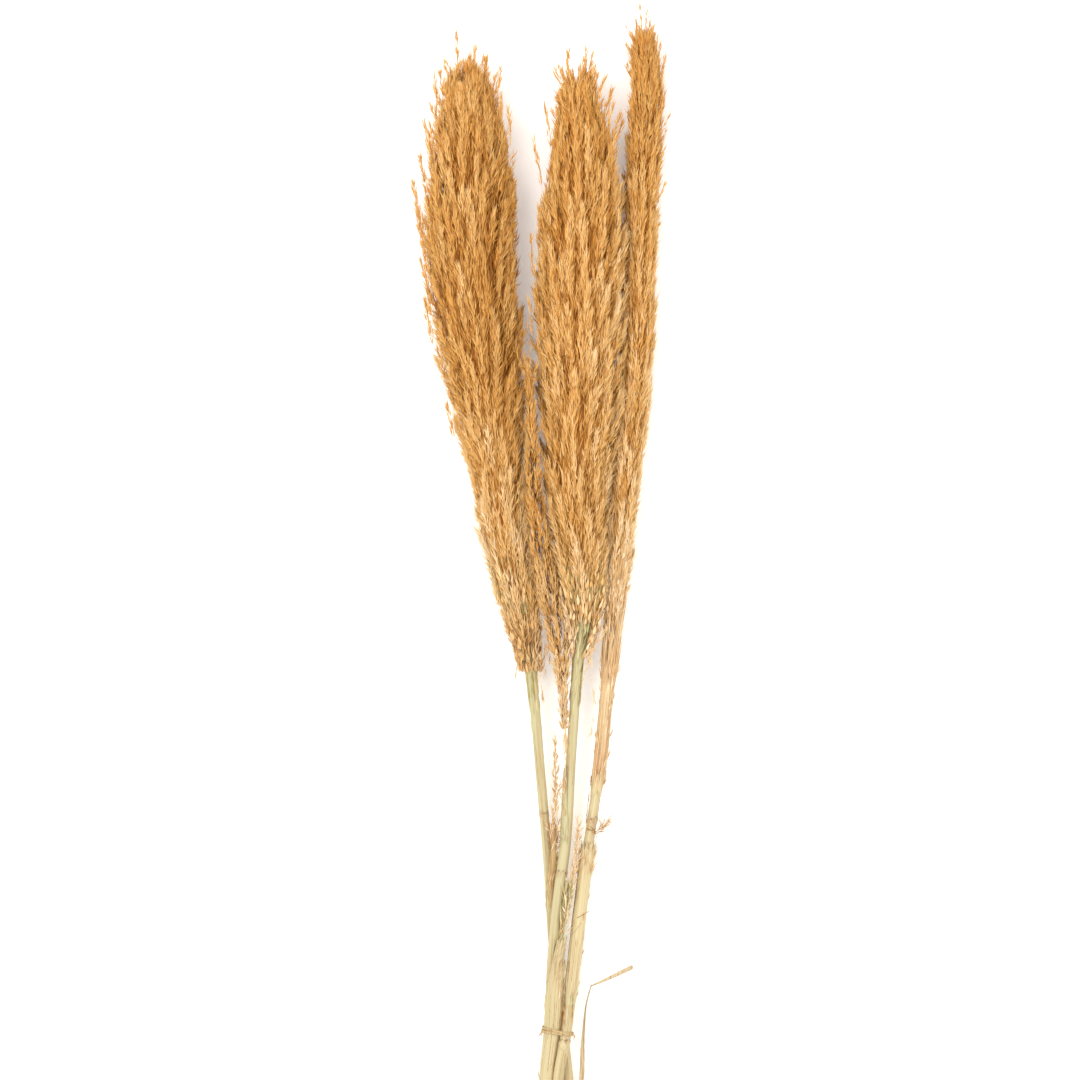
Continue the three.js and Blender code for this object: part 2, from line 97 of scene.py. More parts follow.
# y, centre x, centre z, half width
PLUME_LEFT = [
    (392.3, -29.5, 30.0, 13.0), (440, -38.0, 31.0, 20.5), (520, -54.6, 32.5, 24.4),
    (600, -66.2, 34.0, 29.7), (690, -77.5, 35.0, 41.5), (790, -89.5, 35.0, 48.5),
    (870, -93.5, 34.8, 48.5), (950, -94.5, 34.0, 41.0), (1000, -97.0, 31.5, 25.5),
    (1034, -97.5, 30.0, 12.5), (1056, -98.0, 28.0, 3.5),
]
PLUME_MIDDLE = [
    (406.3, 22.0, 34.0, 12.0), (440, 27.0, 35.0, 21.0), (520, 24.0, 36.0, 29.5),
    (600, 21.5, 37.0, 37.0), (690, 23.6, 36.0, 44.4), (790, 23.5, 35.4, 48.5),
    (870, 26.0, 35.4, 45.5), (950, 27.0, 34.5, 32.0), (1006, 22.0, 33.0, 15.0),
    (1048, 19.5, 31.0, 3.5),
]
PLUME_RIGHT = [
    (422.3, 58.3, 24.2, 8.0), (465, 61.6, 24.0, 11.5), (520, 68.0, 23.0, 15.0),
    (573, 71.6, 22.0, 15.6), (627, 76.6, 21.0, 16.6), (735, 85.4, 20.0, 17.2),
    (843, 88.6, 20.0, 17.6), (951, 93.6, 19.8, 17.8), (1036, 96.4, 19.5, 14.5),
    (1064, 93.5, 19.0, 9.0), (1094, 89.5, 18.0, 2.0),
]
PLUME_SLENDER = [
    (330, 7.2, 37.4, 2.0), (379, 4.6, 38.6, 5.2), (422, 1.0, 38.0, 9.8), (465, -8.8, 37.0, 13.0),
    (520, -18.0, 40.0, 12.0), (573, -25.4, 43.0, 9.5), (627, -27.8, 45.5, 6.0),
    (681, -30.4, 47.5, 3.2), (735, -33.0, 48.5, 1.2),
]
LEFT_DEPTH, MIDDLE_DEPTH, RIGHT_DEPTH, SLENDER_DEPTH = 0.68, 0.76, 1.0, 0.9
for rows in (PLUME_LEFT, PLUME_MIDDLE, PLUME_RIGHT, PLUME_SLENDER):
    print("a plume from y =", rows[0][0], "to", rows[-1][0], "mm")


# %% A smooth curve through a table
def at(rows, y):
    """What a table gives at each y, on a smooth curve through its rows, one row for each y."""
    table = np.array(rows, float)
    y = np.atleast_1d(np.asarray(y, float))
    i = np.clip(np.searchsorted(table[:, 0], y, side="right") - 1, 0, len(table) - 2)
    before, after = np.maximum(i - 1, 0), np.minimum(i + 2, len(table) - 1)
    a, b, p, q = table[i], table[i + 1], table[before], table[after]
    span = b[:, :1] - a[:, :1]
    t = np.clip((y[:, None] - a[:, :1]) / span, 0, 1)
    slope_a = (b - p)[:, 1:] / (b - p)[:, :1] * span
    slope_b = (q - a)[:, 1:] / (q - a)[:, :1] * span
    t2, t3 = t * t, t * t * t
    return (
        (2 * t3 - 3 * t2 + 1) * a[:, 1:] + (t3 - 2 * t2 + t) * slope_a
        + (3 * t2 - 2 * t3) * b[:, 1:] + (t3 - t2) * slope_b
    )


print("the left stalk's x, z and radius at the tie:", at(STALK_LEFT, 0)[0], "mm")

# %% [markdown]
# Dried grass has few colours but never one flat one. The maths of a shader is easiest to read
# when it is written like any other maths, so one small class wraps the output of a node, and
# adding or multiplying two of them adds the Math node that does it. A second class holds one
# finish.

# %% Shader maths
BUMP_DISTANCE = 0.0004


class Value:
    """The output of a node. Arithmetic on it adds Math nodes."""

    def __init__(self, finish, socket):
        self.finish, self.socket = finish, socket

    def maths(self, operation, a, b=0.0):
        return self.finish.node("Math", {0: a, 1: b}, operation=operation)

    def __add__(self, other):
        return self.maths("ADD", self, other)

    def __sub__(self, other):
        return self.maths("SUBTRACT", self, other)

    def __rsub__(self, other):
        return self.maths("SUBTRACT", other, self)

    def __mul__(self, other):
        return self.maths("MULTIPLY", self, other)

    __radd__, __rmul__ = __add__, __mul__

    def held(self, low=0.0, high=1.0):
        """Between low and high, stretched to run from 0 to 1."""
        inputs = {0: self, 1: low, 2: high, 3: 0.0, 4: 1.0}
        return self.finish.node("MapRange", inputs, clamp=True)


def rgb(red, green, blue):
    """A colour as a screen shows it, 0 to 255, as the numbers that light adds up in."""
    parts = [c / 255 for c in (red, green, blue)]
    light = (c / 12.92 if c < 0.04045 else ((c + 0.055) / 1.055) ** 2.4 for c in parts)
    return (*light, 1.0)


# %% One finish
class Finish:
    """One material. Its nodes are made by node(), and surface() joins them to the shader."""

    def __init__(self, name, **constants):
        self.material = bpy.data.materials.new(name)
        self.material.use_nodes = True
        self.tree = self.material.node_tree
        self.tree.nodes.clear()
        self.shader = self.tree.nodes.new("ShaderNodeBsdfPrincipled")
        ending = self.tree.nodes.new("ShaderNodeOutputMaterial")
        self.tree.links.new(self.shader.outputs[0], ending.inputs[0])
        for socket, number in constants.items():
            self.shader.inputs[socket.replace("_", " ")].default_value = number

    def node(self, kind, inputs=None, output=0, stops=None, **settings):
        """A new node: its settings, then the values or links of its sockets. Gives its output."""
        made = self.tree.nodes.new("ShaderNode" + kind)
        for setting, value in settings.items():
            setattr(made, setting, value)
        if stops:
            ramp = made.color_ramp
            while len(ramp.elements) < len(stops):
                ramp.elements.new(1.0)
            for element, (place, colour) in zip(ramp.elements, stops):
                element.position, element.color = place, colour
        for key, value in (inputs or {}).items():
            if isinstance(value, Value):
                self.tree.links.new(value.socket, made.inputs[key])
            else:
                made.inputs[key].default_value = value
        return Value(self, made.outputs[output])

    def ramp(self, factor, stops):
        return self.node("ValToRGB", {0: factor}, stops=stops)

    def mix(self, factor, a, b):
        return self.node("Mix", {0: factor, 6: a, 7: b}, output=2, data_type="RGBA")

    def noise(self, place, scale, stretch, detail=3.0, roughness=0.55):
        """Noise over place, which is scaled differently along its three axes."""
        stretched = self.node("Mapping", {"Vector": place, "Scale": stretch})
        inputs = {"Vector": stretched, "Scale": scale, "Detail": detail, "Roughness": roughness}
        return self.node("TexNoise", inputs)

    def surface(self, colour, roughness=None, height=None, strength=0.6):
        """Joins the colour, and where given the roughness and the height, to the shader."""
        self.tree.links.new(colour.socket, self.shader.inputs["Base Color"])
        if roughness is not None:
            self.tree.links.new(roughness.socket, self.shader.inputs["Roughness"])
        if height is not None:
            inputs = {"Height": height, "Distance": BUMP_DISTANCE, "Strength": strength}
            bump = self.node("Bump", inputs)
            self.tree.links.new(bump.socket, self.shader.inputs["Normal"])
        return self.material


# %% [markdown]
# A spikelet is so small that a single colour is nearly enough for each, as long as no two are
# quite alike. So each copy carries its own colour in its UV map: the first number is its tone,
# from deep brown to pale straw, a little higher towards its tip, and the second is its hue, from
# amber through gold to rosy straw. Ramps turn the two numbers into a colour. All the faces that
# share a place on that map also share their colour, so the map is exact at any size.

# %% Finishes of the spikelets
SPIKELET_MAP = "OFBake"
GOLD_HUE, ROSY_HUE = 0.5, 0.97
AMBER_TONES = [
    (0.0, rgb(122, 64, 8)), (0.2, rgb(178, 108, 26)), (0.42, rgb(210, 145, 60)),
    (0.64, rgb(221, 166, 84)), (0.85, rgb(235, 190, 122)), (1.0, rgb(244, 214, 166)),
]
GOLD_TONES = [
    (0.0, rgb(118, 72, 16)), (0.2, rgb(173, 116, 42)), (0.42, rgb(206, 153, 77)),
    (0.64, rgb(221, 175, 106)), (0.85, rgb(235, 199, 141)), (1.0, rgb(244, 220, 182)),
]
ROSY_TONES = [
    (0.0, rgb(122, 84, 50)), (0.2, rgb(170, 130, 86)), (0.42, rgb(206, 170, 124)),
    (0.64, rgb(223, 192, 148)), (0.85, rgb(235, 211, 175)), (1.0, rgb(243, 228, 202)),
]
GREEN_TONES = [
    (0.0, rgb(104, 84, 42)), (0.3, rgb(152, 134, 80)), (0.55, rgb(192, 178, 122)),
    (0.8, rgb(212, 200, 150)), (1.0, rgb(228, 218, 178)),
]


def spikelet_finish(name, *tones):
    """The colour that the map's tone gives on each ramp, mixed from ramp to ramp by its hue."""
    finish = Finish(name, Roughness=0.66, Specular_IOR_Level=0.3)
    place = finish.node("UVMap", uv_map=SPIKELET_MAP)
    tone = finish.node("SeparateXYZ", {0: place}, output=0)
    hue = finish.node("SeparateXYZ", {0: place}, output=1)
    colour = finish.ramp(tone, tones[0])
    for i, stops in enumerate(tones[1:]):
        span = 1.0 / (len(tones) - 1)
        share = hue.held(i * span, (i + 1) * span)
        colour = finish.mix(share, colour, finish.ramp(tone, stops))
    return finish.surface(colour)


SPIKELET_FINISH = spikelet_finish("spikelets", AMBER_TONES, GOLD_TONES, ROSY_TONES)
GREEN_FINISH = spikelet_finish("green_branches", GREEN_TONES)
print("finishes:", SPIKELET_FINISH.name, GREEN_FINISH.name)

# %% [markdown]
# Stalks, sheaths, the leaf and the raffia are all made of fibres that run along them. Each of
# those pieces stores, at every point, where the point would be if the piece were laid out
# straight. Noise that is read there, and drawn out along y, gives streaks that follow every bend.

# %% Finishes of the fibrous pieces
STRAIGHT = "laid_straight"
WEAR = "wear"
STAIN_BROWN = rgb(170, 122, 76)
CRACK_BROWN = rgb(104, 68, 40)
LIVE_GREEN = rgb(186, 180, 137)


def fibre_finish(name, pale, middle, dark, fleck, fleck_share=0.62, roughness=0.5, splits=0.6):
    """Streaks of three colours, with worn flecks, green, stains, splits and cracks over them."""
    finish = Finish(name, Specular_IOR_Level=0.4)
    place = finish.node("Attribute", output=1, attribute_name=STRAIGHT)
    broad = finish.noise(place, 1.0, (300.0, 6.0, 300.0), detail=2.0)
    ribs = finish.noise(place, 1.0, (760.0, 8.0, 760.0), detail=3.0)
    fine = finish.noise(place, 1.0, (1500.0, 14.0, 1500.0), detail=4.0, roughness=0.65)
    patches = finish.noise(place, 1.0, (110.0, 22.0, 110.0), detail=5.0)
    streaks = (broad * 0.3 + ribs * 0.4 + fine * 0.3).held(0.40, 0.60)
    colour = finish.ramp(streaks, [(0.0, dark), (0.4, middle), (0.78, pale), (1.0, pale)])
    worn = (patches + (fine - 0.5) * 0.5).held(fleck_share, fleck_share + 0.16)
    colour = finish.mix(worn * 0.75, colour, fleck)
    wear = finish.node("Attribute", output=1, attribute_name=WEAR)
    stain, green, crack = (finish.node("SeparateXYZ", {0: wear}, output=i) for i in range(3))
    colour = finish.mix((green * (0.55 + broad * 0.9)).held(), colour, LIVE_GREEN)
    colour = finish.mix((stain * (fine + 0.45)).held(), colour, STAIN_BROWN)
    bend = finish.noise(place, 1.0, (420.0, 5.0, 420.0), detail=1.0) - 0.5
    split = (1.0 - (bend * bend).held(0.0001, 0.0014)) * patches.held(0.47, 0.60) * splits
    colour = finish.mix(split, colour, STAIN_BROWN)
    colour = finish.mix((crack * (fine + 0.5)).held(), colour, CRACK_BROWN)
    return finish.surface(
        colour, roughness=roughness - 0.12 + fine * 0.3, height=fine + ribs * 0.6 - split * 0.5)


STRAW = fibre_finish(
    "straw", rgb(210, 194, 152), rgb(197, 179, 135), rgb(168, 147, 102), rgb(196, 167, 122),
    fleck_share=0.6, splits=0.35,
)
SHEATH_CREAM = fibre_finish(
    "cream_sheath", rgb(210, 193, 150), rgb(202, 183, 139), rgb(186, 161, 115), rgb(200, 170, 126),
    fleck_share=0.68, roughness=0.55, splits=0.25,
)
SHEATH_TAN = fibre_finish(
    "tan_sheath", rgb(208, 180, 130), rgb(194, 160, 106), rgb(158, 114, 62), rgb(182, 138, 94),
    fleck_share=0.56, roughness=0.6, splits=0.8,
)
SHEATH_ROSE = fibre_finish(
    "rosy_sheath", rgb(222, 197, 154), rgb(209, 179, 134), rgb(172, 128, 84), rgb(200, 154, 114),
    fleck_share=0.52, roughness=0.62, splits=0.8,
)
LEAF_TAN = fibre_finish(
    "dry_leaf", rgb(208, 190, 154), rgb(194, 171, 134), rgb(160, 131, 97), rgb(182, 149, 116),
    roughness=0.58,
)
RAFFIA_GOLD = fibre_finish(
    "raffia", rgb(206, 181, 135), rgb(189, 158, 108), rgb(146, 108, 64), rgb(170, 130, 84),
    roughness=0.45, splits=0.0,
)
for finish in (STRAW, SHEATH_CREAM, SHEATH_TAN, SHEATH_ROSE, LEAF_TAN, RAFFIA_GOLD):
    print(finish.name, "has", len(finish.node_tree.nodes), "nodes")


# %% [markdown]
# The spikelet is the one shape that everything feathery is made of: a papery husk that is widest
# nearer its root and drawn out to a hair at its tip. It is modelled once, one unit long and wide,
# from a three-sided cone. One corner of its base is pulled down to be the root, which leaves a
# narrow kite with a keel. Four faces are plenty, because each plume holds tens of thousands. The
# longer husks at the foot of a plume are seen one by one, so a second, flatter shape has a few
# more.

# %% Tools for modelling by hand
def clear_selection():
    """Nothing selected, in object mode, before a new shape is added."""
    if bpy.context.object and bpy.context.object.mode != "OBJECT":
        bpy.ops.object.mode_set(mode="OBJECT")
    bpy.ops.object.select_all(action="DESELECT")


def select_faces(mesh, chosen):
    """In object mode, selects just the faces that chosen says yes to."""
    for item in (*mesh.vertices, *mesh.edges, *mesh.polygons):
        item.select = False
    for face in mesh.polygons:
        face.select = bool(chosen(face))


def pull_to_point(made, chosen, reach):
    """Pulls the chosen end face out by reach along z, and closes it to a point."""
    select_faces(made.data, chosen)
    bpy.ops.object.mode_set(mode="EDIT")
    bpy.ops.mesh.select_mode(type="FACE")
    bpy.ops.mesh.extrude_region_move(TRANSFORM_OT_translate={"value": (0, 0, reach)})
    bpy.ops.mesh.merge(type="CENTER")
    bpy.ops.object.mode_set(mode="OBJECT")


def taken_apart(made):
    """A modelled shape as points and triangles, for copying. The shape itself is then removed."""
    bpy.ops.object.mode_set(mode="EDIT")
    bpy.ops.mesh.select_all(action="SELECT")
    bpy.ops.mesh.quads_convert_to_tris()
    bpy.ops.mesh.normals_make_consistent(inside=False)
    bpy.ops.object.mode_set(mode="OBJECT")
    points = np.array([v.co for v in made.data.vertices])
    faces = np.array([f.vertices for f in made.data.polygons])
    bpy.data.objects.remove(made, do_unlink=True)
    return points, faces


# %% Model the spikelets
ROOT_DROP = 0.34
HUSK_FLATNESS = 0.45


def model_spikelet():
    """A kite of four faces, one unit long from its root to its tip."""
    clear_selection()
    bpy.ops.mesh.primitive_cone_add(
        vertices=3, radius1=0.5, radius2=0.0, depth=1 - ROOT_DROP,
        location=(0, 0, 0.5 - ROOT_DROP / 2),
    )
    made = bpy.context.object
    bpy.ops.object.transform_apply(location=True)
    corner = min(made.data.vertices, key=lambda v: (round(v.co.z, 3), abs(v.co.x)))
    corner.co = (0.0, 0.12, -ROOT_DROP)
    points, faces = taken_apart(made)
    points[:, 2] += ROOT_DROP
    return points, faces


def model_husk():
    """A flattened body with a long point and a short one, one unit long."""
    clear_selection()
    bpy.ops.mesh.primitive_cylinder_add(vertices=4, radius=0.5, depth=0.26, end_fill_type="NGON")
    made = bpy.context.object
    pull_to_point(made, lambda face: face.normal.z > 0.9, 0.5)
    pull_to_point(made, lambda face: face.normal.z < -0.9, -0.22)
    points, faces = taken_apart(made)
    points[:, 2] -= points[:, 2].min()
    points[:, 2] /= points[:, 2].max()
    points[:, 1] *= HUSK_FLATNESS
    return points, faces


SPIKELET = model_spikelet()
HUSK = model_husk()
print("faces of a spikelet and of a husk:", len(SPIKELET[1]), len(HUSK[1]))

# %% [markdown]
# Copying is a matter of arrays: each copy has a root, a direction, a length, a width and a tone,
# and the master's points are laid along them. All the copies become one real mesh, because
# particles and instances wouldn't survive outside this program. Nothing goes below the table, so
# husks that would are pressed flat on it, as they are under a lying plume. A real tuft is a soft
# haze of down, so its spikelets share much of their shading: their normals are turned towards the
# way the tuft faces. A plume can be darker or paler at some heights, which is its shade, and it
# can have a parted tip: above the parting, what is rooted left of it is pushed left, and the rest
# right.

# %% Lay copies of a shape
MAP_WIDTH = 0.006
TIP_TONE = 0.14
SOFTNESS = 0.5
PARTING_SPAN = 25
LOWEST = 0.05


def unit(vectors):
    """The same directions, all one long."""
    return vectors / np.maximum(np.linalg.norm(vectors, axis=-1, keepdims=True), 1e-9)


class Copies:
    """Copies of the husk shapes, gathered until they are made into one mesh."""

    def __init__(self, seed, hue=ROSY_HUE, shade=((0, 0.0),), parting=None):
        self.random = np.random.default_rng(seed)
        self.hue = hue if callable(hue) else lambda roots: np.full(len(roots), hue)
        self.shade = np.array(shade, float).T
        self.parting = parting
        self.points, self.faces, self.maps, self.facing = [], [], [], []
        self.count = 0

    def lay(self, master, roots, directions, lengths, widths, tones, bow=0.0, facing=None):
        """Adds one copy for each root, in mm. bow bends it sideways, as a share of its length."""
        shape, faces = master
        count = len(roots)
        directions = unit(directions)
        aside = unit(np.cross(directions, self.random.normal(size=(count, 3))))
        across = np.cross(directions, aside)
        x, y, z = shape.T
        lengths, widths = np.broadcast_to(lengths, count), np.broadcast_to(widths, count)
        points = (
            roots[:, None]
            + (aside * widths[:, None])[:, None] * x[:, None]
            + (across * widths[:, None])[:, None] * y[:, None]
            + (directions * lengths[:, None])[:, None] * z[:, None]
            + (aside * lengths[:, None])[:, None] * (bow * z * (1 - z))[:, None]
        )
        if self.parting:
            middle, low, push = self.parting
            apart = push * np.clip((points[..., 1] - low) / PARTING_SPAN, 0, 1)
            points[..., 0] += np.sign(roots[:, None, 0] - middle) * apart
        points[..., 2] = np.maximum(points[..., 2], LOWEST)
        first = self.count + np.arange(count) * len(shape)
        self.points.append(points.reshape(-1, 3))
        self.faces.append((faces[None] + first[:, None, None]).reshape(-1, faces.shape[1]))
        self.count += count * len(shape)
        facing = np.zeros((count, 3)) if facing is None else unit(facing)
        self.facing.append(np.repeat(facing, len(shape), axis=0))
        tones = np.clip(tones + np.interp(roots[:, 1], *self.shade), 0.08, 0.92)
        hues = self.hue(roots) + self.random.normal(0, 0.06, count)
        side = np.sign(x + 0.7 * y) * MAP_WIDTH
        u = tones[:, None, None] + (TIP_TONE * (z - 0.45))[faces][None]
        v = np.clip(hues, 0.02, 0.98)[:, None, None] + side[faces][None]
        self.maps.append(np.stack(np.broadcast_arrays(u, v), axis=-1).reshape(-1, 2))

    def made(self, name, material):
        """One mesh of all the copies so far, as a piece with its map and its softened normals."""
        mesh = bpy.data.meshes.new(name)
        points, faces = to_model(np.concatenate(self.points)), np.concatenate(self.faces)
        mesh.from_pydata(points.tolist(), [], faces.tolist())
        layer = mesh.uv_layers.new(name=SPIKELET_MAP)
        layer.uv.foreach_set("vector", np.concatenate(self.maps).astype(np.float32).ravel())
        mesh.materials.append(material)
        mesh.shade_smooth()
        a, b, c = points[faces].transpose(1, 0, 2)
        square = unit(np.cross(b - a, c - a))[:, None]
        normals = unit(square * (1 - SOFTNESS) + np.concatenate(self.facing)[faces] * SOFTNESS)
        mesh.normals_split_custom_set(normals.reshape(-1, 3).tolist())
        piece = bpy.data.objects.new(name, mesh)
        bpy.context.scene.collection.objects.link(piece)
        print(f"{name}: {len(faces)} faces")
        return piece


def placed(piece, slot, *nodes):
    """Fixes a piece to the bundle and hides what it stands for. slot is not used."""
    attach(piece, "root")
    if nodes:
        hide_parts(*nodes)
    return piece


# %% [markdown]
# A plume isn't a fringe round a stick. It is made of tufts: each is a branch that leaves the
# stalk deep inside, bows out and ends in a point at the surface, and the tufts overlap like
# shingles with dark gaps between them. So the tufts are set out first, tier above tier, and every
# tuft is then filled with spikelets that lean away from its own middle line. Spikelets deep
# inside are painted darker, a painted shade of the plume's inside.

# %% Set out the tufts
GOLDEN_ANGLE = 2.39996
BARE = 0.84
LEFT_OUT = 0.10
SPLAY_SPAN = 240
print("each tier is turned by", round(math.degrees(GOLDEN_ANGLE), 1), "degrees, as leaves are")


def tuft_lines(rows, depth, tier, spacing, length, random, inner=0.40, bare_until=0.0):
    """Three points of each tuft's middle line, and the way that it faces, as rows of arrays.

    Up to the level bare_until the top of the plume has no tufts, so its branches show there.
    """
    base, top = rows[0][0], rows[-1][0]
    lines, ways = [], []
    y = base - 4.0
    turn = 0.0
    while y < top - length * 0.30:
        half = at(rows, y)[0, 2]
        around = 2 * math.pi * half * math.sqrt((1 + depth**2) / 2)
        count = max(4, round(around / spacing))
        turn += GOLDEN_ANGLE
        for i in range(count):
            angle = turn + (i + random.uniform(-0.32, 0.32)) / count * 2 * math.pi
            start = y + random.uniform(-0.5, 0.5) * tier
            long = length * random.uniform(0.72, 1.2)
            if random.uniform() < LEFT_OUT or (start < bare_until and math.sin(angle) > BARE):
                continue
            end = min(start + long, top - 14.0 - 30.0 * random.uniform())
            reach = random.uniform(0.88, 1.04) + 0.14 * random.uniform() ** 6
            shares = (inner * random.uniform(0.8, 1.2), random.uniform(0.72, 0.84), reach)
            way = np.array([math.cos(angle), 0.0, math.sin(angle) * depth])
            near_top = max(0.0, (end - top + SPLAY_SPAN) / SPLAY_SPAN)
            splay = near_top * random.uniform(-0.2, 0.45)
            line = []
            for level, share in zip((start, (start + end) / 2, end), shares):
                cx, cz, wide = at(rows, level)[0]
                wide += (at(rows, level - 45)[0, 2] - wide) * splay * (level > start)
                line.append(np.array([cx, level, cz]) + way * wide * share)
            lines.append(line)
            ways.append(way)
        y += tier
    return np.array(lines), unit(np.array(ways))


# %% [markdown]
# A spikelet is laid by where it is rooted along its tuft and how far off the tuft's middle line.
# It leans out the more the further off it is, and its colour is painted the darker the deeper it
# lies in the plume, as painted shade. A few are dark flecks, and on some plumes one side has
# painted shade, the side that lies next to another plume.

# %% Fill the tufts
LEAN = 0.30
FLECKED, FLECK_DARKER = 0.10, 0.36
PAINTED_SHADE_SIDE_LEVELS, PAINTED_SHADE_SIDE_SHARES = [450, 600, 880, 1000], [0, 1, 1, 0]


def on_line(lines, u):
    """Points and directions at u on curves of three points."""
    a, b, c = lines[:, 0], lines[:, 1], lines[:, 2]
    b = 2 * b - (a + c) / 2
    u = u[:, None]
    points = (1 - u) ** 2 * a + 2 * u * (1 - u) * b + u**2 * c
    return points, unit(2 * (1 - u) * (b - a) + 2 * u * (c - b))


def share_out(rows, depth, points):
    """How far out of a plume's middle each point is, as a share of the plume there."""
    x, z, half = at(rows, points[:, 1]).T
    return np.hypot(points[:, 0] - x, (points[:, 2] - z) / depth) / np.maximum(half, 3.0)


def fill_tufts(
    copies, rows, depth, lines, ways, each, radius, size, tone,
    painted_shade_side=0.0, uneven=0.05, stray=0.18,
):
    """Lays spikelets round the middle line of every tuft. size is their length and width."""
    random = copies.random
    which = np.repeat(np.arange(len(lines)), each)
    count = len(which)
    u = random.uniform(0.04, 1.0, count) ** 0.85
    middle, along = on_line(lines[which], u)
    aside = unit(np.cross(along, random.normal(size=(count, 3))))
    swell = 1.25 * np.clip(u, 0.02, 1) ** 0.3 * np.clip(1.03 - u, 0, 1) ** 0.55
    out = radius * swell * np.sqrt(random.uniform(0, 1, count))
    roots = middle + aside * out[:, None]
    spread = (out / radius)[:, None] * LEAN
    directions = along + aside * spread + ways[which] * 0.05 + random.normal(0, stray, (count, 3))
    foot = np.exp(-np.clip(roots[:, 1] - rows[0][0], 0, None) / 60)
    lengths = size[0] * random.uniform(0.72, 1.3, count)
    widths = size[1] * random.uniform(0.75, 1.25, count) * (1 + 0.35 * foot)
    # painted shade: spikelets that lie deeper inside the plume are darker
    inside = np.clip(1.0 - share_out(rows, depth, roots + directions * 4), 0, 1)
    patch = 0.04 * np.sin(lines[:, 1, 1] / 17 + lines[:, 1, 0] / 8)
    # painted shade on the side of a plume that lies next to another plume, between these heights
    painted_side_shade = np.interp(lines[:, 1, 1], PAINTED_SHADE_SIDE_LEVELS, PAINTED_SHADE_SIDE_SHARES)
    patch -= np.clip(painted_shade_side * ways[:, 0], 0, 1) * painted_side_shade
    patch += random.normal(0, uneven, len(lines))
    fleck = FLECK_DARKER * (random.uniform(0, 1, count) < FLECKED)
    tones = (
        tone + patch[which] - fleck + random.normal(0, 0.06, count)
        - inside * 0.7 + (u - 0.5) * 0.16 + 0.12 * foot
    )
    facing = ways[which] + aside * (0.9 * out / radius)[:, None]
    copies.lay(SPIKELET, roots - directions * 2, directions, lengths, widths, tones, 0.12, facing)


# %% [markdown]
# Between the tufts a plume is filled with shorter spikelets, its undercoat, painted darker as they
# lie deeper, as painted shade. Fine hairs stand out of the ends of its tufts and blur their edges.

# %% Undercoat and hairs
def undercoat(copies, rows, depth, count, size, tone, bare_until):
    """Spikelets low between the tufts that hide the plain middle, with painted shade on deeper
    ones.
    """
    random = copies.random
    base, top = rows[0][0] + 12, rows[-1][0] - 45
    levels = random.uniform(base, top, count * 3)
    wide = at(rows, levels)[:, 2]
    levels = levels[random.uniform(0, wide.max(), len(levels)) < wide][:count]
    angles = random.uniform(0, 2 * math.pi, len(levels))
    seen = (levels > bare_until) | (np.sin(angles) < BARE)
    levels, angles = levels[seen], angles[seen]
    ways = np.stack([np.cos(angles), angles * 0, np.sin(angles) * depth], axis=1)
    x, z, half = at(rows, levels).T
    share = random.uniform(0.52, 0.80, len(levels))
    roots = np.stack([x, levels, z], axis=1) + ways * (half * share)[:, None]
    directions = np.array([0, 1, 0]) + ways * 0.22 + random.normal(0, 0.16, roots.shape)
    # painted shade: the deeper an undercoat spikelet lies, the darker it is
    tones = tone - (1 - share) * 0.9 + random.normal(0, 0.09, len(levels))
    lengths = size[0] * random.uniform(0.8, 1.3, len(levels))
    copies.lay(SPIKELET, roots, directions, lengths, size[1], tones, 0.12, ways)


def add_hairs(copies, lines, ways, each, tone):
    """Long thin hairs that stand out of the outer ends of the tufts."""
    random = copies.random
    which = np.repeat(np.arange(len(lines)), each)
    count = len(which)
    roots, along = on_line(lines[which], random.uniform(0.35, 1.0, count))
    directions = along + ways[which] * 0.14 + random.normal(0, 0.16, (count, 3))
    lengths = random.uniform(9, 17, count)
    tones = tone + random.normal(0, 0.08, count)
    copies.lay(SPIKELET, roots, directions, lengths, 0.5, tones, 0.25, ways[which])


# %% [markdown]
# What stands off a plume gives it its soft outline. A wisp is a thin branch with spikelets round
# it that ends in a point. Loose tufts are the same, set all round the plume by the golden angle,
# and a few along the axis close its tip.

# %% Branches, wisps and loose tufts
TIP_TUFTS = 14
RISE_SPAN = 320


def add_branch(copies, points, radius, tone):
    """A thin branch through points, as a chain of slim tapering links."""
    points = np.array(points, float)
    ways = points[1:] - points[:-1]
    lengths = np.linalg.norm(ways, axis=1)
    widths = 2 * radius * np.linspace(1.0, 0.6, len(ways))
    roots = points[:-1] - unit(ways) * 1.5
    copies.lay(HUSK, roots, ways, lengths + 3.5, widths * 1.15, np.full(len(ways), tone))


def add_wisp(copies, start, end, tone, husks=34, radius=2.2, size=(11.0, 1.5)):
    """A loose pointed tuft that stands off the plume, on a thin branch."""
    random = copies.random
    start, end = np.array(start, float), np.array(end, float)
    way, span = unit(end - start), np.linalg.norm(end - start)
    side = unit(np.cross(way, [0, 0, 1.0])) * random.uniform(-1, 1) * 2.0
    u = np.linspace(0, 1, 5)[:, None]
    branch = start + (end - start) * u + side * np.sin(np.pi * u)
    thin = min(0.8, radius * 0.5)
    links = branch[1:] - branch[:-1]
    copies.lay(SPIKELET, branch[:-1] - way, links, span / 4 + 4, thin, tone - 0.1)
    u = random.uniform(0, 0.92, husks)[:, None] ** 0.9
    aside = unit(np.cross(way, random.normal(size=(husks, 3))))
    out = radius * np.sqrt(1 - u) * random.uniform(0, 1, (husks, 1))
    roots = start + (end - start) * u + side * np.sin(np.pi * u) + aside * out
    directions = way + aside * 0.16 + random.normal(0, 0.10, (husks, 3))
    lengths = size[0] * random.uniform(0.7, 1.2, husks)
    tones = tone + random.normal(0, 0.05) + random.normal(0, 0.07, husks)
    copies.lay(SPIKELET, roots, directions, lengths, size[1], tones, 0.1)


